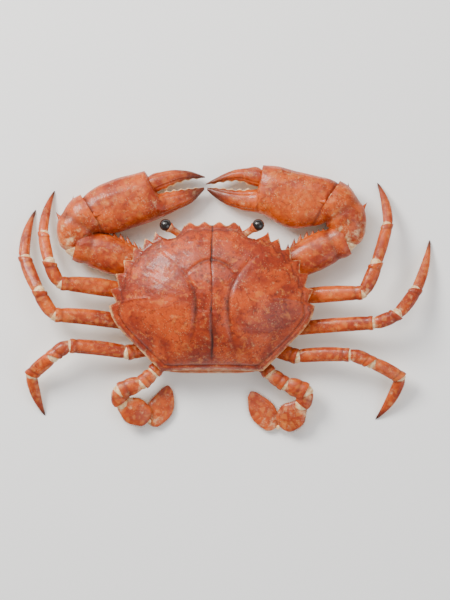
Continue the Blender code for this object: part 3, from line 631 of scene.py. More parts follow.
def mouthRelief(side, y, z):
    # two plates on the front wall with a fold across each, and a narrow palp beside each; then the lines along
    # their edges, where shade is painted
    mouth = underbody["mouth"]
    halfWidth, palpWidth = mouth["halfWidth"], mouth["palpWidth"]
    plate = ramp(side, 0.25, 0.9) * fall(side, halfWidth - 0.4, halfWidth + 0.4)
    palp = ramp(side, halfWidth + 0.8, halfWidth + 1.5) * fall(side, palpWidth - 0.8, palpWidth)
    lobes = 1.8 * np.abs(np.sin(side / halfWidth * np.pi)) - 0.9
    high = mouth["high"] + np.where(side < halfWidth, lobes, -2.5)
    span = ramp(y, 28, 33) * ramp(z, mouth["low"], mouth["low"] + mouth["fade"]) * ramp(high - z, 0, 1.5)
    fold = bell(z - mouth["fold"] - 0.06 * (side - 6.0) ** 2, 0, 0.5)
    pressed = mouth["foldDepth"] * fold + 0.5 * bell(side, 6.0 + 0.12 * (z - 12.0), 0.8)
    raised = mouth["plateHeight"] * plate + mouth["palpHeight"] * palp - plate * pressed
    # painted shade along the plates' edges, the middle seam and the fold
    outline = bell(side, 0, 0.5) + bell(side, halfWidth + 0.6, 0.6) + bell(side, palpWidth, 0.5) + plate * fold
    return span * raised, span * outline


def makeUnderbody():
    # rings as shares of the shell's outline from the seam down, then flat in to the middle
    line = fromCentre[::2]
    front = line[:, 1] > 0
    z = np.concatenate([np.linspace(22.0, 0.8, 64), 0.8 * (1 - np.sin(np.linspace(0.1, 1, 8) * np.pi / 2))])
    side, ahead, behind = (smooth([(height, shares[i]) for height, shares in underbody["rings"]], z)
                           for i in range(3))
    along = np.where(front, ahead[:, None], behind[:, None])
    flat = shellCentre + np.stack([line[:, 0] * side[:, None], line[:, 1] * along], axis=-1)
    lift = (z / 22.0)[:, None] ** 2
    height = z[:, None] * (1 - lift) + lift * (seamZ(flat[..., 1]) - shell["seamGap"] / 2)
    wall = np.concatenate([flat, height[..., None]], axis=-1)
    bottom = [np.column_stack([shellCentre + (wall[-1, :, :2] - shellCentre) * share, np.zeros(len(line))])
              for share in np.linspace(1, 0.02, 46)[1:]]
    rows = np.concatenate([wall, np.array(bottom)])
    x, y, z = rows[..., 0], rows[..., 1], rows[..., 2]
    side = np.abs(x)
    low = fall(z, 12, 19)
    lean = underbody["plateLean"] * (side - 30)
    plates = sum(bell(y - yLine - lean, 0, 0.8) for yLine in underbody["plateLines"])
    besideTail = ramp(side, tailHalfWidth(y), tailHalfWidth(y) + 4) * fall(y, 30, 34)
    groove = underbody["plateGroove"] * plates * low * besideTail
    seamLine = underbody["seamGroove"] * bell(z, 17.5, 0.7) * ramp(side, 20, 26)
    raised, outline = mouthRelief(side, y, z)
    fine = 0.12 * uneven(rows, 6.0, 11) * ramp(z, 0.5, 2)
    pressed = emboss(rows, raised - groove - seamLine + fine)
    pocket = ramp(tailHalfWidth(y) + 0.9 - side, 0, 0.9) * fall(z, 1.5, 3.5) * fall(y, 7.0, 8.5)
    pressed[..., 2] = np.maximum(pressed[..., 2] + underbody["pocket"] * pocket, 0.0)
    pressed[0] = rows[0]
    edge = ramp(z, 13, 21) * 0.6 + 0.35 * ramp(side, 34, 52)
    # painted shade: the deep mark darkens the plate grooves, the seam groove and the lines round the mouth
    # plates
    marks = {"flush": edge + 0.25 * raised + 0.35 * groove,
             "deep": np.clip(0.6 * groove + 0.8 * seamLine + 0.55 * outline, 0, 0.65)}
    top = (*shellCentre, seamZ(shellCentre[1]) - shell["seamGap"] / 2)
    foot = (*shellCentre, pressed[-1, :, 2].mean())
    return settle(skin("crab_underbody", pressed, top, foot, bellyFinish, marks), "belly", "underbody")


def roundedEnds(t, length, noses):
    # 1 along the body, a quarter ellipse over each end
    first, last = np.array(noses) / length
    start = 1 - (1 - np.clip(t / first, 0, 1)) ** 2
    end = 1 - (1 - np.clip((1 - t) / last, 0, 1)) ** 2
    return np.sqrt(start * end)


def alongRows(length, noses, count, noseCount=7):
    # positions 0 to 1, close together over both ends
    first, last = np.array(noses) / length
    ease = 1 - np.cos(np.linspace(0, np.pi / 2, noseCount + 1))[:-1]
    return np.concatenate([first * ease, np.linspace(first, 1 - last, count), 1 - last * ease[::-1]])


def sectionPoints(around, power):
    # a superellipse: across = |cos a|^(2/p), rise = |sin a|^(2/p), with their signs
    a = circle(around)
    across = np.sign(np.cos(a)) * np.abs(np.cos(a)) ** (2 / power)
    rise = np.sign(np.sin(a)) * np.abs(np.sin(a)) ** (2 / power)
    return a, across, rise


def makeTailFlap():
    # a strip carried along the path, with a fold at each of its segments and a low ridge down the middle
    t = alongRows(tail["length"], tail["noses"], 150)
    y, z = (even(column, t) for column in zip(*tail["path"]))
    centres = np.column_stack([np.zeros_like(y), y, z])
    up = np.cross((1.0, 0.0, 0.0), unit(np.gradient(centres, t, axis=0)))
    rounding = roundedEnds(t, tail["length"], tail["noses"])
    half = even(tail["halfWidths"], t) * rounding
    thick = tail["halfThickness"] * rounding**0.5
    _, across, rise = sectionPoints(96, 4)
    step = sum(ramp(t, fold - 0.02, fold) * fall(t, fold, fold + 0.035) for fold in tail["folds"])
    thickHere = thick[:, None] * (1 - 0.45 * bell(np.abs(across), 1.0, 0.2)) - 0.7 * step[:, None]
    rows = swept(centres[:, None], half[:, None] * across, (1.0, 0.0, 0.0), thickHere * rise, up[:, None])
    rows[..., 2] = np.maximum(rows[..., 2], 0)
    # painted shade: the deep mark darkens the folds between the segments
    marks = {"flush": 0.15 + 0.5 * fall(t, 0.0, 0.4)[:, None] + 0.2 * np.abs(across),
             "deep": 0.6 * step[:, None]}
    return settle(poledSkin("crab_tail_flap", rows, bellyFinish, marks), "belly", "tail_flap")


makeUnderbody()
makeTailFlap()
print("underbody and tail flap")


# Eyes

eye = {
    "around": 64,
    "radius": 4.4,
    "centre": (33.6, 54.4, 34.5),
    "foot": (23.6, 47.6, 31.0),
    # distance along the stalk and its radius there
    "stalk": ((-2.0, 0.0), (-1.9, 2.4), (0.0, 2.7), (3.0, 2.5), (6.0, 2.6), (7.6, 3.0), (8.6, 3.6), (9.4, 3.95),
              (10.0, 3.8), (10.2, 3.2), (10.0, 0.0)),
}


def makeEye(label, side):
    # the ball, r = R cos a at R sin a along the stalk, over a stalk that flares to a collar round it
    turn = np.array((side, 1, 1))
    centre, foot = np.array(eye["centre"]) * turn, np.array(eye["foot"]) * turn
    heading = unit(centre - foot)
    length = np.linalg.norm(centre - foot)
    marks = {"pale": 0.3, "deep": 0.0, "tip": 0.0}
    bend = np.linspace(-np.pi / 2, np.pi / 2, 44)
    radius = eye["radius"]
    ball = turnedSkin(f"crab_{label}", foot, heading, length + radius * np.sin(bend), radius * np.cos(bend),
                      eye["around"], eyeFinish, marks)
    settle(ball, "eye", label)
    reach, radius = np.array(eye["stalk"]).T
    stalk = turnedSkin(f"crab_{label}_stalk", foot, heading, reach, radius, eye["around"], clawFinish, marks)
    settle(stalk, "claw")


for label, side in (("eye_left", -1), ("eye_right", 1)):
    makeEye(label, side)
print("eyes")


# Tubes of shell: legs, and the claws' arms

limbShape = {
    "nest": 2.4,            # how far a piece reaches back into the one before
    "noses": (3.2, 1.0),    # length of the rounding at each end
    "around": 56,
    "rows": 46,
    "power": 2.25,          # squareness of the section, 2 being an ellipse
    "neck": 0.16,           # share of the width that is lost at the near end
    "lip": 0.45,
    "cup": 2.2,
    "grooves": (38, 142),   # degrees round the section
    "grooveDepth": 0.28,
    "uneven": (0.10, 7.0),
    "pale": (0.8, 0.30),    # underneath, and at the near end
    # painted shade in the groove near the far end of each piece
    "endGrooveShade": 0.45,
    "tipMark": 0.9,
    "pointed": False,
    "slant": 0.0,           # how far the far end leans, as a share of its half width
}
hair = {"radius": 0.09, "perRim": 90}


def tubePath(piece):
    # sections carried along start + t (end - start) + 4 bow t (1 - t) sideways: narrow at the neck, flared at
    # the far end, or running out to a point
    shape = {**limbShape, **piece}
    start, end = np.array(shape["start"], float), np.array(shape["end"], float)
    first = start - unit(end - start) * shape["nest"]
    reach = end - first
    length = np.linalg.norm(reach)
    size = max(shape["widths"]) / 5.0
    t = alongRows(length, shape["noses"], shape["rows"])
    centres = first + np.outer(t, reach) + np.outer(4 * shape["bow"] * t * (1 - t), rightOf(reach))
    tangent = unit(np.gradient(centres, t, axis=0))
    fromStart, fromEnd = t * length, (1 - t) * length
    swell = 1 - shape["neck"] * fall(fromStart, shape["nest"], shape["nest"] + 5.0 * size)
    rounding = roundedEnds(t, length, shape["noses"] if shape["pointed"] else (shape["noses"][0], 1e-6))
    if not shape["pointed"]:
        flare = bell(fromEnd, 1.4 * size, 1.2 * size) - bell(fromEnd, 4.0 * size, 1.0 * size)
        swell = swell + 0.05 * flare
    half = even(shape["widths"], t) * swell * rounding
    return {**shape, "size": size, "t": t, "centres": centres, "tangent": tangent, "half": half,
            "thick": half * shape["thickness"], "fromStart": fromStart, "fromEnd": fromEnd}


def tubeSkin(name, piece, material):
    # a tube's far end turns inwards over a lip and ends in a shallow cup, unless it is pointed
    path = tubePath(piece)
    pointed, size, t = path["pointed"], path["size"], path["t"]
    fromStart, fromEnd = path["fromStart"], path["fromEnd"]
    centres, tangent, half, thick = (path[key] for key in ("centres", "tangent", "half", "thick"))
    side = rightOf(tangent)
    up = np.cross(side, tangent)
    a, across, rise = sectionPoints(path["around"], path["power"])
    if not pointed:
        inset = np.array((0.35, 1.0, 1.7, 2.2)) * path["lip"] * size
        back = np.array((-0.15, 0.1, 1.0, path["cup"])) * min(size, 1.6)
        centres = np.concatenate([centres, centres[-1] - np.outer(back, tangent[-1])])
        side = np.concatenate([side, np.repeat(side[-1:], 4, axis=0)])
        up = np.concatenate([up, np.repeat(up[-1:], 4, axis=0)])
        half = np.concatenate([half, half[-1] - inset])
        thick = np.concatenate([thick, thick[-1] - inset])
    rows = swept(centres[:, None], half[:, None] * across, side[:, None], thick[:, None] * rise, up[:, None])
    count = len(t)
    if path["slant"]:
        lean = np.ones(len(half))
        lean[:count] = fall(fromEnd, 0, 9 * size)
        rows = rows + (path["slant"] * (lean * half)[:, None] * across)[..., None] * tangent[-1]
    window = ramp(fromStart, 5 * size, 9 * size) * ramp(fromEnd, 4 * size, 8 * size)
    relief = np.zeros(rows.shape[:2])
    degrees = np.degrees(a)
    for angle in path["grooves"]:
        relief[:count] -= path["grooveDepth"] * size * window[:, None] * bell(degrees, angle, 9)
    depth, wave = path["uneven"]
    unevenness = uneven(rows[:count], wave, sum(map(ord, name)))
    relief[:count] += depth * size * unevenness * ramp(fromStart, 3, 6)[:, None]
    rows[1:count - 2] = emboss(rows, relief)[1:count - 2]
    rows[..., 2] = np.maximum(rows[..., 2], 0)
    pale = np.zeros(rows.shape[:2])
    underneath, nearEnd = path["pale"]
    pale[:count] = underneath * fall(rise, -1.0, 0.2) + nearEnd * fall(fromStart, 3, 8 * size)[:, None]
    deep = np.zeros(rows.shape[:2])
    tip = np.zeros(rows.shape[:2])
    if pointed:
        tip[:count] = path["tipMark"] * ramp(t, 0.70, 0.97)[:, None]
    else:
        # painted shade in the groove near the far end
        deep[:count] = path["endGrooveShade"] * bell(fromEnd, 4.0 * size, 0.8 * size)[:, None]
        pale[count:] = 0.7
    used = slice(1, -1 if pointed else None)
    return skin(name, rows[used], centres[0], centres[-1], material,
                {"pale": pale[used], "deep": deep[used], "tip": tip[used]})


def hairs(name, roots, directions, lengths):
    # thin cones on three sides, one to a hair
    across = unit(np.cross(directions, (0.0, 0.0, 1.0)))
    up = np.cross(across, directions)
    turn = np.radians((0, 120, 240))
    ring = np.cos(turn)[None, :, None] * across[:, None] + np.sin(turn)[None, :, None] * up[:, None]
    tips = roots + directions * lengths[:, None]
    points = np.concatenate([roots[:, None] + hair["radius"] * ring, tips[:, None]], axis=1)
    corners = np.array(((0, 1, 3), (1, 2, 3), (2, 0, 3), (0, 2, 1)))
    faces = (np.arange(len(roots))[:, None, None] * 4 + corners).reshape(-1, 3)
    mesh = bpy.data.meshes.new(name)
    mesh.from_pydata((points.reshape(-1, 3) * millimetre).tolist(), [], faces.tolist())
    return pieceFrom(mesh, name, hairFinish)


def fringe(name, pieces, length):
    # short hairs along both rims of flat or pointed pieces, leaning towards the tip
    random = np.random.default_rng(sum(map(ord, name)))
    roots, directions, lengths = [], [], []
    for piece in pieces:
        path = tubePath(piece)
        at = np.linspace(0.08, 0.94, hair["perRim"])
        for edge in (-1, 1):
            t = at + random.uniform(-0.003, 0.003, len(at))
            centre, tangent = (np.stack([np.interp(t, path["t"], column) for column in path[key].T], axis=-1)
                               for key in ("centres", "tangent"))
            out = rightOf(tangent) * edge
            roots.append(centre + out * (np.interp(t, path["t"], path["half"]) - 0.15)[:, None])
            directions.append(unit(out + 0.7 * tangent + random.normal(0, 0.16, centre.shape)))
            lengths.append(length * random.uniform(0.7, 1.15, len(at)))
    settle(hairs(name, *(np.concatenate(values) for values in (roots, directions, lengths))), "leg")


def membraneBalls(name, joints):
    # a wrinkled ball at each joint, squashed to the tubes that it joins
    balls = []
    for number, (centre, heading, half, thick) in enumerate(joints):
        side = rightOf(heading)
        up = np.cross(side, heading)
        b = np.linspace(-np.pi / 2, np.pi / 2, 20)
        a = circle(32)
        fold = 1 + 0.03 * np.sin(9 * b)
        rows = centre + (half * np.sin(b))[:, None, None] * heading
        rows = rows + (fold * np.cos(b))[:, None, None] * (half * np.cos(a)[:, None] * side
                                                           + thick * np.sin(a)[:, None] * up)
        balls.append(poledSkin(f"{name}_{number}", rows, membraneFinish))
    return joined(name, balls)


# ends of the five pieces, half widths at the start, middle and end of each, and how far each bows sideways
legs = {
    "leg_left_1": {
        "joints": ((-48, 2, 11), (-57, 4.5, 13), (-110, 12, 26), (-118.3, 27.7, 26), (-123, 48.4, 15),
                   (-115.5, 80.1, 0.4)),
        "widths": ((5.6, 5.8, 5.6), (5.0, 6.4, 4.9), (4.0, 4.9, 4.9), (4.0, 4.3, 4.2), (3.6, 3.1, 0.5)),
        "slant": -0.42,
        "bows": (0, 1.5, -1.2, -0.6, -2.0),
    },
    "leg_left_2": {
        "joints": ((-47, -18, 11), (-57, -18, 13), (-114.3, -10.9, 25), (-125.9, 6.6, 25), (-136.6, 30.6, 14),
                   (-129.4, 66.2, 0.4)),
        "widths": ((5.6, 5.8, 5.6), (5.0, 5.9, 5.2), (4.3, 5.1, 5.1), (4.3, 4.9, 4.8), (4.2, 3.5, 0.5)),
        "slant": -0.42,
        "bows": (0, 1.5, -1.2, -0.8, -2.6),
    },
    "leg_left_3": {
        "joints": ((-45, -35, 12), (-62, -38.5, 15), (-103.4, -33.5, 23), (-115.8, -41.0, 22),
                   (-131.8, -54.6, 13), (-122.5, -84.8, 0.4)),
        "widths": ((5.4, 5.6, 5.6), (5.0, 5.4, 5.2), (4.5, 5.4, 5.4), (4.7, 5.3, 5.1), (4.5, 3.6, 0.5)),
        "slant": 0.42,
        "bows": (0, 1.0, 1.2, 0.5, 1.6),
    },
    "leg_right_1": {
        "joints": ((48, 0, 11), (57, 1.5, 13), (109.4, 5.2, 26), (119.4, 26.7, 26), (128, 54.6, 15),
                   (121.2, 86.1, 0.4)),
        "widths": ((5.6, 5.8, 5.6), (5.0, 6.0, 5.0), (4.2, 5.1, 4.9), (4.0, 4.3, 4.2), (3.6, 3.2, 0.5)),
        "slant": 0.42,
        "bows": (0, -0.8, 1.2, 0.5, 2.4),
    },
    "leg_right_2": {
        "joints": ((47, -20, 11), (57, -21.5, 13), (117.2, -16.7, 25), (134.7, -10.2, 25), (148.9, 7.3, 14),
                   (159.7, 44.0, 0.4)),
        "widths": ((5.6, 5.8, 5.6), (4.9, 5.3, 5.1), (4.4, 5.0, 5.0), (4.4, 4.8, 4.7), (4.1, 3.3, 0.5)),
        "slant": 0.42,
        "bows": (0, -0.6, 1.0, 1.0, 1.8),
    },
    "leg_right_3": {
        "joints": ((45, -36, 12), (62, -41.3, 15), (99.9, -40.0, 23), (115.8, -45.5, 22), (137.4, -56.6, 13),
                   (119.8, -87.7, 0.4)),
        "widths": ((5.4, 5.6, 5.6), (4.9, 5.3, 5.0), (4.3, 5.1, 5.1), (4.4, 4.9, 4.9), (4.3, 3.8, 0.5)),
        "slant": -0.42,
        "bows": (0, -1.0, -1.0, -0.8, -2.4),
    },
}
legSegments = ("hip", "thigh", "knee", "shin", "toe")
legThickness = (0.9, 0.74, 0.82, 0.74, 0.64)
paddles = {
    "paddle_left": {
        "joints": ((-33, -42, 14), (-42.5, -52.5, 15), (-51.0, -60.5, 15.5), (-66.8, -66.8, 15),
                   (-66.4, -75.2, 13), (-45.5, -87.0, 7.5)),
        "widths": ((5.2, 5.4, 5.4), (4.8, 5.6, 5.6), (5.0, 6.4, 6.6), (5.6, 6.2, 5.6), (5.0, 10.0, 6.6)),
        "bows": (0, 0, 0.5, 1.6, 0.5),
        "blade": {"start": (-47.0, -90.5, 4.2), "end": (-32.4, -62.6, 2.6), "bow": 3.0},
    },
    "paddle_right": {
        "joints": ((33, -42, 14), (42.0, -53.5, 15), (53.3, -61.5, 15.5), (68.2, -67.5, 15),
                   (65.4, -76.4, 13), (50.0, -93.0, 7.5)),
        "widths": ((5.2, 5.4, 5.4), (4.8, 5.6, 5.6), (5.0, 6.8, 6.9), (5.8, 6.4, 5.6), (5.0, 10.4, 6.8)),
        "bows": (0, 0, -0.5, -1.2, -0.5),
        "blade": {"start": (47.0, -93.5, 4.2), "end": (28.4, -67.0, 2.6), "bow": -1.4},
    },
}
paddleSegments = ("root", "hip", "thigh", "knee", "shin")
paddleThickness = (0.9, 0.85, 0.74, 0.74, 0.27)
bladeRelief = {"grooves": (34, 146, 214, 326), "grooveDepth": 0.22, "tipMark": 0.0}
blade = {"widths": (6.0, 9.2, 2.6), "thickness": 0.16, "nest": 0.0, "noses": (4.0, 4.0), "pointed": True,
         "neck": 0.0, **bladeRelief}


def makeLeg(label, leg, segments, thickness):
    ends = list(zip(leg["joints"], leg["joints"][1:]))
    joints, fringed = [], []
    for number, (segment, (start, end)) in enumerate(zip(segments, ends)):
        node = f"{label}_{segment}"
        piece = {"start": start, "end": end, "widths": leg["widths"][number], "thickness": thickness[number],
                 "bow": leg["bows"][number]}
        if segment in ("knee", "shin"):
            piece["slant"] = leg.get("slant", 0.0)
        if segment == "toe":
            piece.update(pointed=True, noses=(3.2, 3.0), grooves=(50, 130, 230, 310), grooveDepth=0.34)
            fringed.append(piece)
        if "blade" in leg and segment == "shin":
            piece.update(pointed=True, noses=(3.2, 4.0), **bladeRelief)
            fringed.append(piece)
        settle(tubeSkin(f"crab_{node}", piece, legFinish), "leg", node)
        if number:
            heading = unit(towardsEnd(ends[number - 1][0], start) + towardsEnd(start, end))
            half = 0.86 * leg["widths"][number - 1][2]
            joints.append((np.array(start, float), heading, half, half * thickness[number - 1]))
    if "blade" in leg:
        piece = {**blade, **leg["blade"]}
        settle(tubeSkin(f"crab_{label}_blade", piece, legFinish), "leg", f"{label}_blade")
        fringed.append(piece)
        middle = (np.array(ends[-1][1]) + np.array(piece["start"])) / 2
        joints.append((middle, towardsEnd(ends[-1][1], piece["start"]), 1.8, 1.4))
    settle(membraneBalls(f"crab_{label}_membranes", joints), "leg")
    fringe(f"crab_{label}_fringe", fringed, 1.9 if "blade" in leg else 0.9)


for label, leg in legs.items():
    makeLeg(label, leg, legSegments, legThickness)
print("walking legs")
for label, leg in paddles.items():
    makeLeg(label, leg, paddleSegments, paddleThickness)
print("paddles")


# Feelers folded under the brow, and the hair round the mouth

face = {
    # start, end, half widths and sideways bow of the feelers' joints, on the right
    "joints": (((1.4, 50.4, 27.9), (8.4, 51.0, 27.3), (1.2, 2.0, 1.9, 1.2), 0.0),
               ((8.2, 52.0, 26.6), (3.0, 52.6, 25.5), (0.8, 1.05, 0.8), 0.4),
               ((3.2, 52.6, 25.6), (8.8, 53.0, 23.0), (0.5, 0.4, 0.12), 0.5),
               ((9.2, 50.0, 27.3), (15.6, 50.2, 25.9), (1.7, 2.8, 2.7, 1.8), 0.0),
               ((14.8, 50.6, 26.2), (18.8, 49.8, 23.2), (1.4, 2.0, 1.7, 1.1), 0.0),
               ((18.4, 49.8, 23.6), (24.6, 46.2, 14.4), (0.8, 0.6, 0.4, 0.12), 1.6)),
    # first and last point of each line of hair, across and up
    "hairLines": (((0.6, 3.5), (0.6, 20.5)), ((12.3, 5.5), (12.6, 20.0)), ((2.0, 22.4), (11.0, 22.4)),
                  ((24.0, 17.6), (46.0, 17.6))),
    "hairSpacing": 0.34,
    "hairLength": 1.6,
}


def makeFeelers():
    made = []
    for side in (-1, 1):
        turned = np.array((side, 1, 1))
        for start, end, widths, bow in face["joints"]:
            joint = {"start": start * turned, "end": end * turned, "widths": widths, "thickness": 0.9,
                     "bow": bow * side, "nest": 0.3, "noses": (widths[0], widths[-1]), "around": 24, "rows": 40,
                     "neck": 0.0, "grooves": (), "pointed": True, "tipMark": 0.2}
            made.append(tubeSkin(f"feeler_{len(made)}", joint, clawFinish))
    settle(joined("crab_feelers", made), "claw")


def makeMouthHair():
    # roots found on the underbody's front wall, straight ahead of each point of the lines
    bpy.context.view_layer.update()
    wall = bpy.data.objects["crab_underbody"]
    random = np.random.default_rng(21)
    roots, directions = [], []
    for first, last in face["hairLines"]:
        count = int(np.linalg.norm(np.subtract(last, first)) / face["hairSpacing"])
        for x, z in np.linspace(first, last, count) + random.normal(0, 0.12, (count, 2)):
            for side in (-1, 1):
                hit, place, normal, _ = wall.ray_cast(Vector((side * x, 90, z)) * millimetre, (0, -1, 0))
                if hit:
                    normal = np.array(normal)
                    roots.append(np.array(place) / millimetre - 0.15 * normal)
                    directions.append(0.7 * normal + (0, 0, -0.7) + random.normal(0, 0.18, 3))
    lengths = face["hairLength"] * random.uniform(0.6, 1.15, len(roots))
    settle(hairs("crab_mouth_hair", np.array(roots), unit(np.array(directions)), lengths), "belly")


makeFeelers()
makeMouthHair()
print("face")


# Claws

# The hand's edges are given as distance along its axis, from the root at the wrist, and distance from the axis.
claws = {
    "claw_left": {
        "side": -1,
        "hip": {"start": (-34, 17, 12), "end": (-49, 23.5, 12.5), "widths": (9.5, 10.4, 10.4), "bow": 0},
        "arm": {"start": (-47, 23, 12.5), "end": (-99.5, 40.5, 15.0), "widths": (9.2, 13.6, 11.4), "bow": 1.0},
        "wrist": {"start": (-99.0, 39.5, 14.5), "end": (-88.2, 64.6, 14.0), "widths": (9.0, 14.4, 14.6),
                  "bow": -5.5},
        "root": (-90.3, 62.6),
        "angle": 14.4,
        "palmTop": ((-6, 8), (0, 13.4), (9, 17.6), (22, 20.0), (38, 20.6), (47, 20.6)),
        "foot": ((-6, -8), (0, -13.0), (10, -17.2), (32, -17.4), (48, -16.0), (63, -13.1), (76, -10.2),
                 (86.6, -3.6)),
        "cleft": (47.0, 53.6),
        "pollexTop": ((53.6, 1.9), (66, 0.9), (77, -0.4), (86.6, -1.6)),
        "fingerTop": ((43, 11.0), (49, 15.8), (61, 16.9), (72, 15.1), (81, 11.4), (89.3, 5.8)),
        "fingerFoot": ((43, 6.0), (50, 3.6), (60, 4.8), (74, 6.8), (81, 6.2), (89.3, 4.8)),
    },
    "claw_right": {
        "side": 1,
        "hip": {"start": (36, 15, 12), "end": (50.5, 20.5, 12.5), "widths": (9.5, 10.4, 10.4), "bow": 0},
        "arm": {"start": (48.5, 20, 12.5), "end": (97.6, 44.5, 15.0), "widths": (9.2, 13.2, 11.6), "bow": -1.0},
        "wrist": {"start": (97.6, 43.6, 14.5), "end": (85.0, 74.0, 14.0), "widths": (9.4, 15.0, 15.6),
                  "bow": 6.4},
        "root": (85.2, 72.1),
        "angle": 173.1,
        "palmTop": ((-9, 11.5), (-4, 14.6), (0, 16.0), (12, 17.6), (27, 19.2), (39, 20.9), (51, 20.6)),
        "foot": ((-9, -6), (0, -15.2), (13, -20.4), (29, -22.6), (38, -19.2), (46, -15.6), (62, -14.0),
                 (74, -11.3), (82, -7.6), (89.2, -2.6)),
        "cleft": (50.6, 52.8),
        "pollexTop": ((52.8, 2.6), (65, 0.2), (80, -0.2), (89.2, -0.6)),
        "fingerTop": ((46, 12.0), (53, 18.2), (63, 16.9), (73, 13.8), (81, 9.2), (90.6, 2.2)),
        "fingerFoot": ((46, 6.5), (53, 4.6), (66, 7.2), (77, 5.6), (84, 3.4), (90.6, 1.4)),
    },
}
hand = {
    "thickness": {"hip": 0.92, "arm": 0.74, "wrist": 0.84},
    "palmHalfThickness": ((-6, 7.0), (0, 10.0), (12, 12.4), (30, 13.4), (46, 12.2), (56, 8.4), (68, 6.6),
                          (79, 4.4), (90, 1.0)),
    "fingerHalfThickness": ((43, 5.4), (52, 6.8), (66, 5.8), (79, 4.0), (91, 0.8)),
    "centreZ": ((-6, 14.0), (20, 13.0), (50, 12.4), (90, 9.0)),
    "uneven": ((0.22, 11.0), (0.08, 4.0)),  # height and size
    # painted shadow on the palm just past the wrist's open end
    "wristShadow": 0.7,
    "bites": {"count": 5, "depth": 1.7, "start": 57.0, "taper": 0.6, "margin": 3.0},
    # degrees round the section, first and last place along the axis, and depth: a ridge where it is negative
    "handGrooves": ((52, 52, 86, 0.7), (308, 52, 86, 0.6), (215, 40, 84, 0.5), (145, 48, 84, 0.6),
                    (30, 3, 47, -0.55), (66, 6, 46, -0.4), (118, 10, 60, -0.3)),
    "fingerGrooves": ((128, 50, 88, 0.6), (232, 50, 88, 0.5), (40, 50, 84, 0.5)),
    # skin at the wrist and the knuckle: how far behind the root or the cleft, height or place, half width and
    # half thickness
    "wristSkin": {"back": 2.0, "z": 13.6, "half": (12.6, 10.4)},
    "knuckleSkin": {"back": 1.0, "up": 10.0, "z": 12.1, "half": (5.0, 6.4)},
}


def handAxes(claw):
    angle = np.radians(claw["angle"])
    heading = np.array((np.cos(angle), np.sin(angle), 0.0))
    return heading, rightOf(heading) * claw["side"]


def biteHeight(u, tip):
    # blunt teeth, sin^2, lower towards the tip
    bites = hand["bites"]
    s = np.clip((u - bites["start"]) / (tip - bites["margin"] - bites["start"]), 0, 1)
    big = bites["depth"] * (1 - bites["taper"] * s) * np.sin(np.pi * bites["count"] * s) ** 2
    return big * (0.85 + 0.15 * np.sin(31 * s))


def clawLine(claw, part):
    start, end = (np.array(claw[part][key], float) for key in ("start", "end"))
    return start, end, unit(end - start)


def pastWrist(claw, points):
    # how far points lie beyond the wrist's open end, whose heading is (end - start) - 4 bow sideways
    start, end, _ = clawLine(claw, "wrist")
    return (points - end) @ unit(end - start - 4 * claw["wrist"]["bow"] * rightOf(end - start))


def handSkin(name, claw, u, top, foot, thickness, node, tip, toothSide, grooves):
    # sections between the top and foot edges at each u along the hand's axis; teeth stand on the inner edge
    heading, towards = handAxes(claw)
    a, across, rise = sectionPoints(112, 2.3)
    half = (top - foot) / 2
    middle = (top + foot) / 2
    thick = thickness.copy()
    half[[0, -1]] = 0
    thick[[0, -1]] = 0
    z = smooth(hand["centreZ"], u)
    root = np.array((*claw["root"], 0.0))
    rows = swept(root + u[:, None, None] * heading, middle[:, None] + half[:, None] * across, towards,
                 z[:, None] + thick[:, None] * rise, (0.0, 0.0, 1.0))
    degrees = np.degrees(a)
    relief = sum(height * uneven(rows, size, seed)
                 for (height, size), seed in zip(hand["uneven"], (sum(map(ord, name)), len(name))))
    relief *= ramp(u, u[0] + 1, u[0] + 6)[:, None] * fall(u, u[-1] - 5, u[-1] - 0.5)[:, None]
    for angle, first, last, depth in grooves:
        window = ramp(u, first, first + 5) * fall(u, last - 8, last)
        if depth < 0:
            window = window * (0.75 + 0.25 * np.sin(2.9 * u))
        relief -= depth * window[:, None] * bell(degrees, angle, 7)
    rows = emboss(rows, relief)
    inner = np.clip(across * toothSide, 0, 1) ** 8
    tooth = biteHeight(u, tip)[:, None] * inner
    rows = rows + (tooth * toothSide)[..., None] * towards
    rows[..., 2] = np.maximum(rows[..., 2], 0)
    onFinger = ramp(u, 56, 60)[:, None]
    toothMark = onFinger * ramp(inner, 0.45, 0.8) * fall(u, tip - 5, tip - 2)[:, None]
    pale = 0.8 * fall(rise, -1.0, 0.25)[None] * (1 - 0.4 * onFinger) + toothMark
    deep = np.zeros(rows.shape[:2])
    if node.endswith("hand"):
        # painted shadow where the palm comes out of the wrist
        deep += hand["wristShadow"] * bell(pastWrist(claw, rows), 0.6, 1.3) * fall(u, 14, 20)[:, None]
    dark = 0.8 * ramp(u, 66, tip - 2)[:, None] * (1 - toothMark)
    return settle(poledSkin(name, rows, clawFinish, {"pale": pale, "deep": deep, "tip": dark}), "claw", node)


def makeHand(label, claw):
    # the palm runs to the cleft, where its top edge steps down to the fixed finger
    first, tip = claw["foot"][0][0], claw["foot"][-1][0]
    cleftStart, cleftEnd = claw["cleft"]
    u = np.concatenate([np.linspace(first, first + 1, 4), np.linspace(first + 1.5, cleftStart - 2, 70),
                        np.linspace(cleftStart - 1.5, cleftEnd + 1.5, 44),
                        np.linspace(cleftEnd + 2, tip - 1, 96),
                        tip - (1 - np.sin(np.linspace(0.1, 1, 7) * np.pi / 2))])
    step = ramp(u, cleftStart, cleftEnd)
    palm = smooth(claw["palmTop"], np.minimum(u, cleftStart))
    finger = smooth(claw["pollexTop"], np.maximum(u, cleftEnd))
    top = palm + (finger - palm) * step
    handSkin(f"crab_{label}_hand", claw, u, top, smooth(claw["foot"], u), smooth(hand["palmHalfThickness"], u),
             f"{label}_hand", tip, 1, hand["handGrooves"])


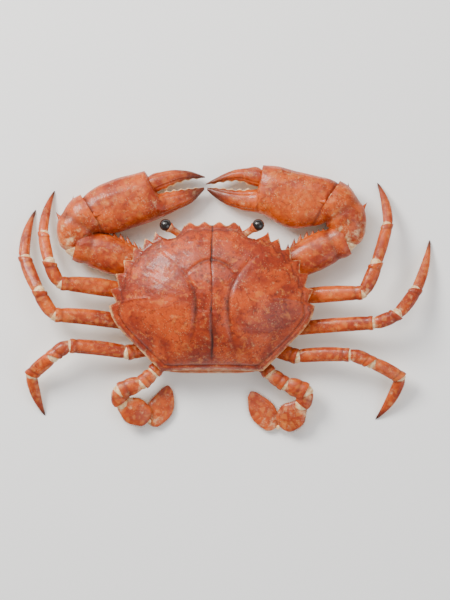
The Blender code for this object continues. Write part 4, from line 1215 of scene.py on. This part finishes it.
def makeFinger(label, claw):
    first, tip = claw["fingerTop"][0][0], claw["fingerTop"][-1][0]
    u = np.concatenate([first + (1 - np.cos(np.linspace(0, np.pi / 2, 8))) * 1.5,
                        np.linspace(first + 2, tip - 1, 120),
                        tip - (1 - np.sin(np.linspace(0.1, 1, 7) * np.pi / 2))])
    handSkin(f"crab_{label}_finger", claw, u, smooth(claw["fingerTop"], u), smooth(claw["fingerFoot"], u),
             smooth(hand["fingerHalfThickness"], u), f"{label}_finger", tip, -1, hand["fingerGrooves"])


# place along the part as a share, length and radius of each thorn; then two that stand alone
thorns = {
    "arm": ((0.16, 4.4, 1.9), (0.24, 5.6, 2.4), (0.34, 6.2, 2.6), (0.44, 6.2, 2.6), (0.54, 5.6, 2.4),
            (0.63, 4.2, 2.0), (0.71, 3.2, 1.6), (0.78, 2.6, 1.3)),
    "wrist": ((0.50, 6.4, 2.5), (0.94, 8.0, 2.4)),
    "wristInner": {"back": 1.0, "inward": 4.0, "z": 24.8, "length": 5.5, "radius": 2.4},
    "palm": {"back": 4.5, "up": 17.6, "z": 13.0, "length": 5.0, "radius": 2.4},
    "depth": {"arm": 0.9, "wrist": 1.4},
    "lean": 0.6,
    "forwardLean": 3.2,
}


def thornSkin(name, foot, direction, length, radius):
    # r = R (1 - s)^1.2, rounded over at both ends, with a quarter of its length sunk in the shell
    s = np.linspace(0, 1, 28)
    back = np.sqrt(1 - (1 - np.clip(s / 0.22, 0, 1)) ** 2)
    r = 1.15 * radius * (1 - s) ** 1.2 * back * np.sqrt(np.clip(1 - s**16, 0, 1))
    reach = (s * 1.3 - 0.3) * length
    marks = {"pale": 0.0, "deep": 0.0, "tip": 0.55 * ramp(s, 0.5, 1.0)[:, None]}
    return turnedSkin(name, foot, unit(direction), reach, r, 20, clawFinish, marks)


def makeThorns(label, claw):
    made = []
    for part, side in (("arm", -claw["side"]), ("wrist", claw["side"])):
        path = claw[part]
        start, end, heading = clawLine(claw, part)
        out = rightOf(heading) * side
        for share, length, radius in thorns[part]:
            middle = start + share * (end - start) + rightOf(heading) * 4 * path["bow"] * share * (1 - share)
            foot = middle + out * (even(path["widths"], share) - thorns["depth"][part])
            lean = thorns["forwardLean"] if share > 0.9 else thorns["lean"]
            made.append(thornSkin(f"thorn_{len(made)}", foot, out + heading * lean, length, radius))
    inner = thorns["wristInner"]
    _, end, heading = clawLine(claw, "wrist")
    inward = -rightOf(heading) * claw["side"]
    foot = end - heading * inner["back"] + inward * inner["inward"]
    foot[2] = inner["z"]
    made.append(thornSkin("thorn_inner", foot, inward + heading * 0.5 + (0, 0, 0.12), inner["length"],
                          inner["radius"]))
    heading, towards = handAxes(claw)
    palm = thorns["palm"]
    foot = np.array((*claw["root"], palm["z"])) + towards * palm["up"]
    foot = foot + heading * (claw["cleft"][0] - palm["back"])
    made.append(thornSkin("thorn_palm", foot, heading + towards * thorns["lean"], palm["length"],
                          palm["radius"]))
    settle(joined(f"crab_{label}_thorns", made), "claw")


def makeClaw(label, claw):
    for part, nest in (("hip", 0.0), ("arm", 0.0), ("wrist", 4.5)):
        piece = {**claw[part], "thickness": hand["thickness"][part], "nest": nest, "noses": (6.0, 1.0),
                 "around": 96, "rows": 80, "neck": 0.06, "cup": 2.6, "lip": 0.3, "grooveDepth": 0.12}
        settle(tubeSkin(f"crab_{label}_{part}", piece, clawFinish), "claw", f"{label}_{part}")
    makeHand(label, claw)
    makeFinger(label, claw)
    makeThorns(label, claw)
    joints = []
    for outer, inner in (("hip", "arm"), ("arm", "wrist")):
        start = np.array(claw[inner]["start"], float)
        heading = unit(np.subtract(claw[outer]["end"], claw[outer]["start"]).astype(float)
                       + np.subtract(claw[inner]["end"], claw[inner]["start"]))
        half = 0.76 * claw[outer]["widths"][2]
        joints.append((start + heading * 0.5, heading, half, half * hand["thickness"][outer]))
    heading, towards = handAxes(claw)
    skinAt = hand["wristSkin"]
    joints.append((np.array((*claw["root"], skinAt["z"])) - heading * skinAt["back"], heading, *skinAt["half"]))
    skinAt = hand["knuckleSkin"]
    knuckle = np.array((*claw["root"], skinAt["z"])) + heading * (claw["cleft"][0] - skinAt["back"])
    joints.append((knuckle + towards * skinAt["up"], heading, *skinAt["half"]))
    settle(membraneBalls(f"crab_{label}_membranes", joints), "claw")


for label, claw in claws.items():
    makeClaw(label, claw)
print("claws")


# Floor, light and camera

studio = {
    "floor": "F4F3F1",
    "floorHalf": 1.6,
    "cameraHeight": 3.0,
    "aim": (0.0095, 0.0, 0.025),     # what the picture's middle looks at
    "viewHeight": 0.4368,            # what 600 rows of the picture span at the crab
    "filmHeight": 36.0,
    # place and size in metres, power in watts, and tint of each lamp
    "lamps": {"key": ((-0.80, 0.80, 1.0), 0.6, 34.0, (1.0, 0.98, 0.95)),
              "fill": ((1.0, -0.6, 1.0), 1.2, 10.0, (0.95, 0.97, 1.0)),
              "top": ((0.0, 1.1, 1.5), 1.2, 14.0, (1.0, 1.0, 1.0))},
    "sky": (0.92, 0.93, 0.95, 1.0),
    "skyStrength": 0.50,
}


def makeFloor():
    half = studio["floorHalf"]
    mesh = bpy.data.meshes.new("floor")
    corners = [(-half, -half, 0), (half, -half, 0), (half, half, 0), (-half, half, 0)]
    mesh.from_pydata(corners, [], [(0, 1, 2, 3)])
    # a sheet of matt white card, which gives the eye a soft shadow and no gloss
    material, tree, shader, _ = newMaterial("matt_card")
    setInputs(tree, shader, {"Base Color": colour(studio["floor"]), "Roughness": 0.8})
    pieceFrom(mesh, "floor", material)


def areaLight(name, place, size, power, tint):
    # a square lamp that faces the crab
    data = bpy.data.lights.new(name, "AREA")
    data.size = size
    data.energy = power
    data.color = tint
    lamp = bpy.data.objects.new(name, data)
    bpy.context.scene.collection.objects.link(lamp)
    lamp.location = place
    lamp.rotation_euler = (Vector((0, 0, 0.02)) - Vector(place)).to_track_quat("-Z", "Y").to_euler()


def makeStudio():
    makeFloor()
    for name, lamp in studio["lamps"].items():
        areaLight(name, *lamp)
    world = bpy.data.worlds.new("studio")
    bpy.context.scene.world = world
    world.use_nodes = True
    background = world.node_tree.nodes["Background"]
    background.inputs["Color"].default_value = studio["sky"]
    background.inputs["Strength"].default_value = studio["skyStrength"]
    data = bpy.data.cameras.new("camera")
    camera = bpy.data.objects.new("camera", data)
    bpy.context.scene.collection.objects.link(camera)
    camera.location = (studio["aim"][0], studio["aim"][1], studio["cameraHeight"])
    data.sensor_fit = "VERTICAL"
    data.sensor_height = studio["filmHeight"]
    data.lens = studio["filmHeight"] * (studio["cameraHeight"] - studio["aim"][2]) / studio["viewHeight"]
    data.clip_end = 20.0
    bpy.context.scene.camera = camera


makeStudio()
print("studio")
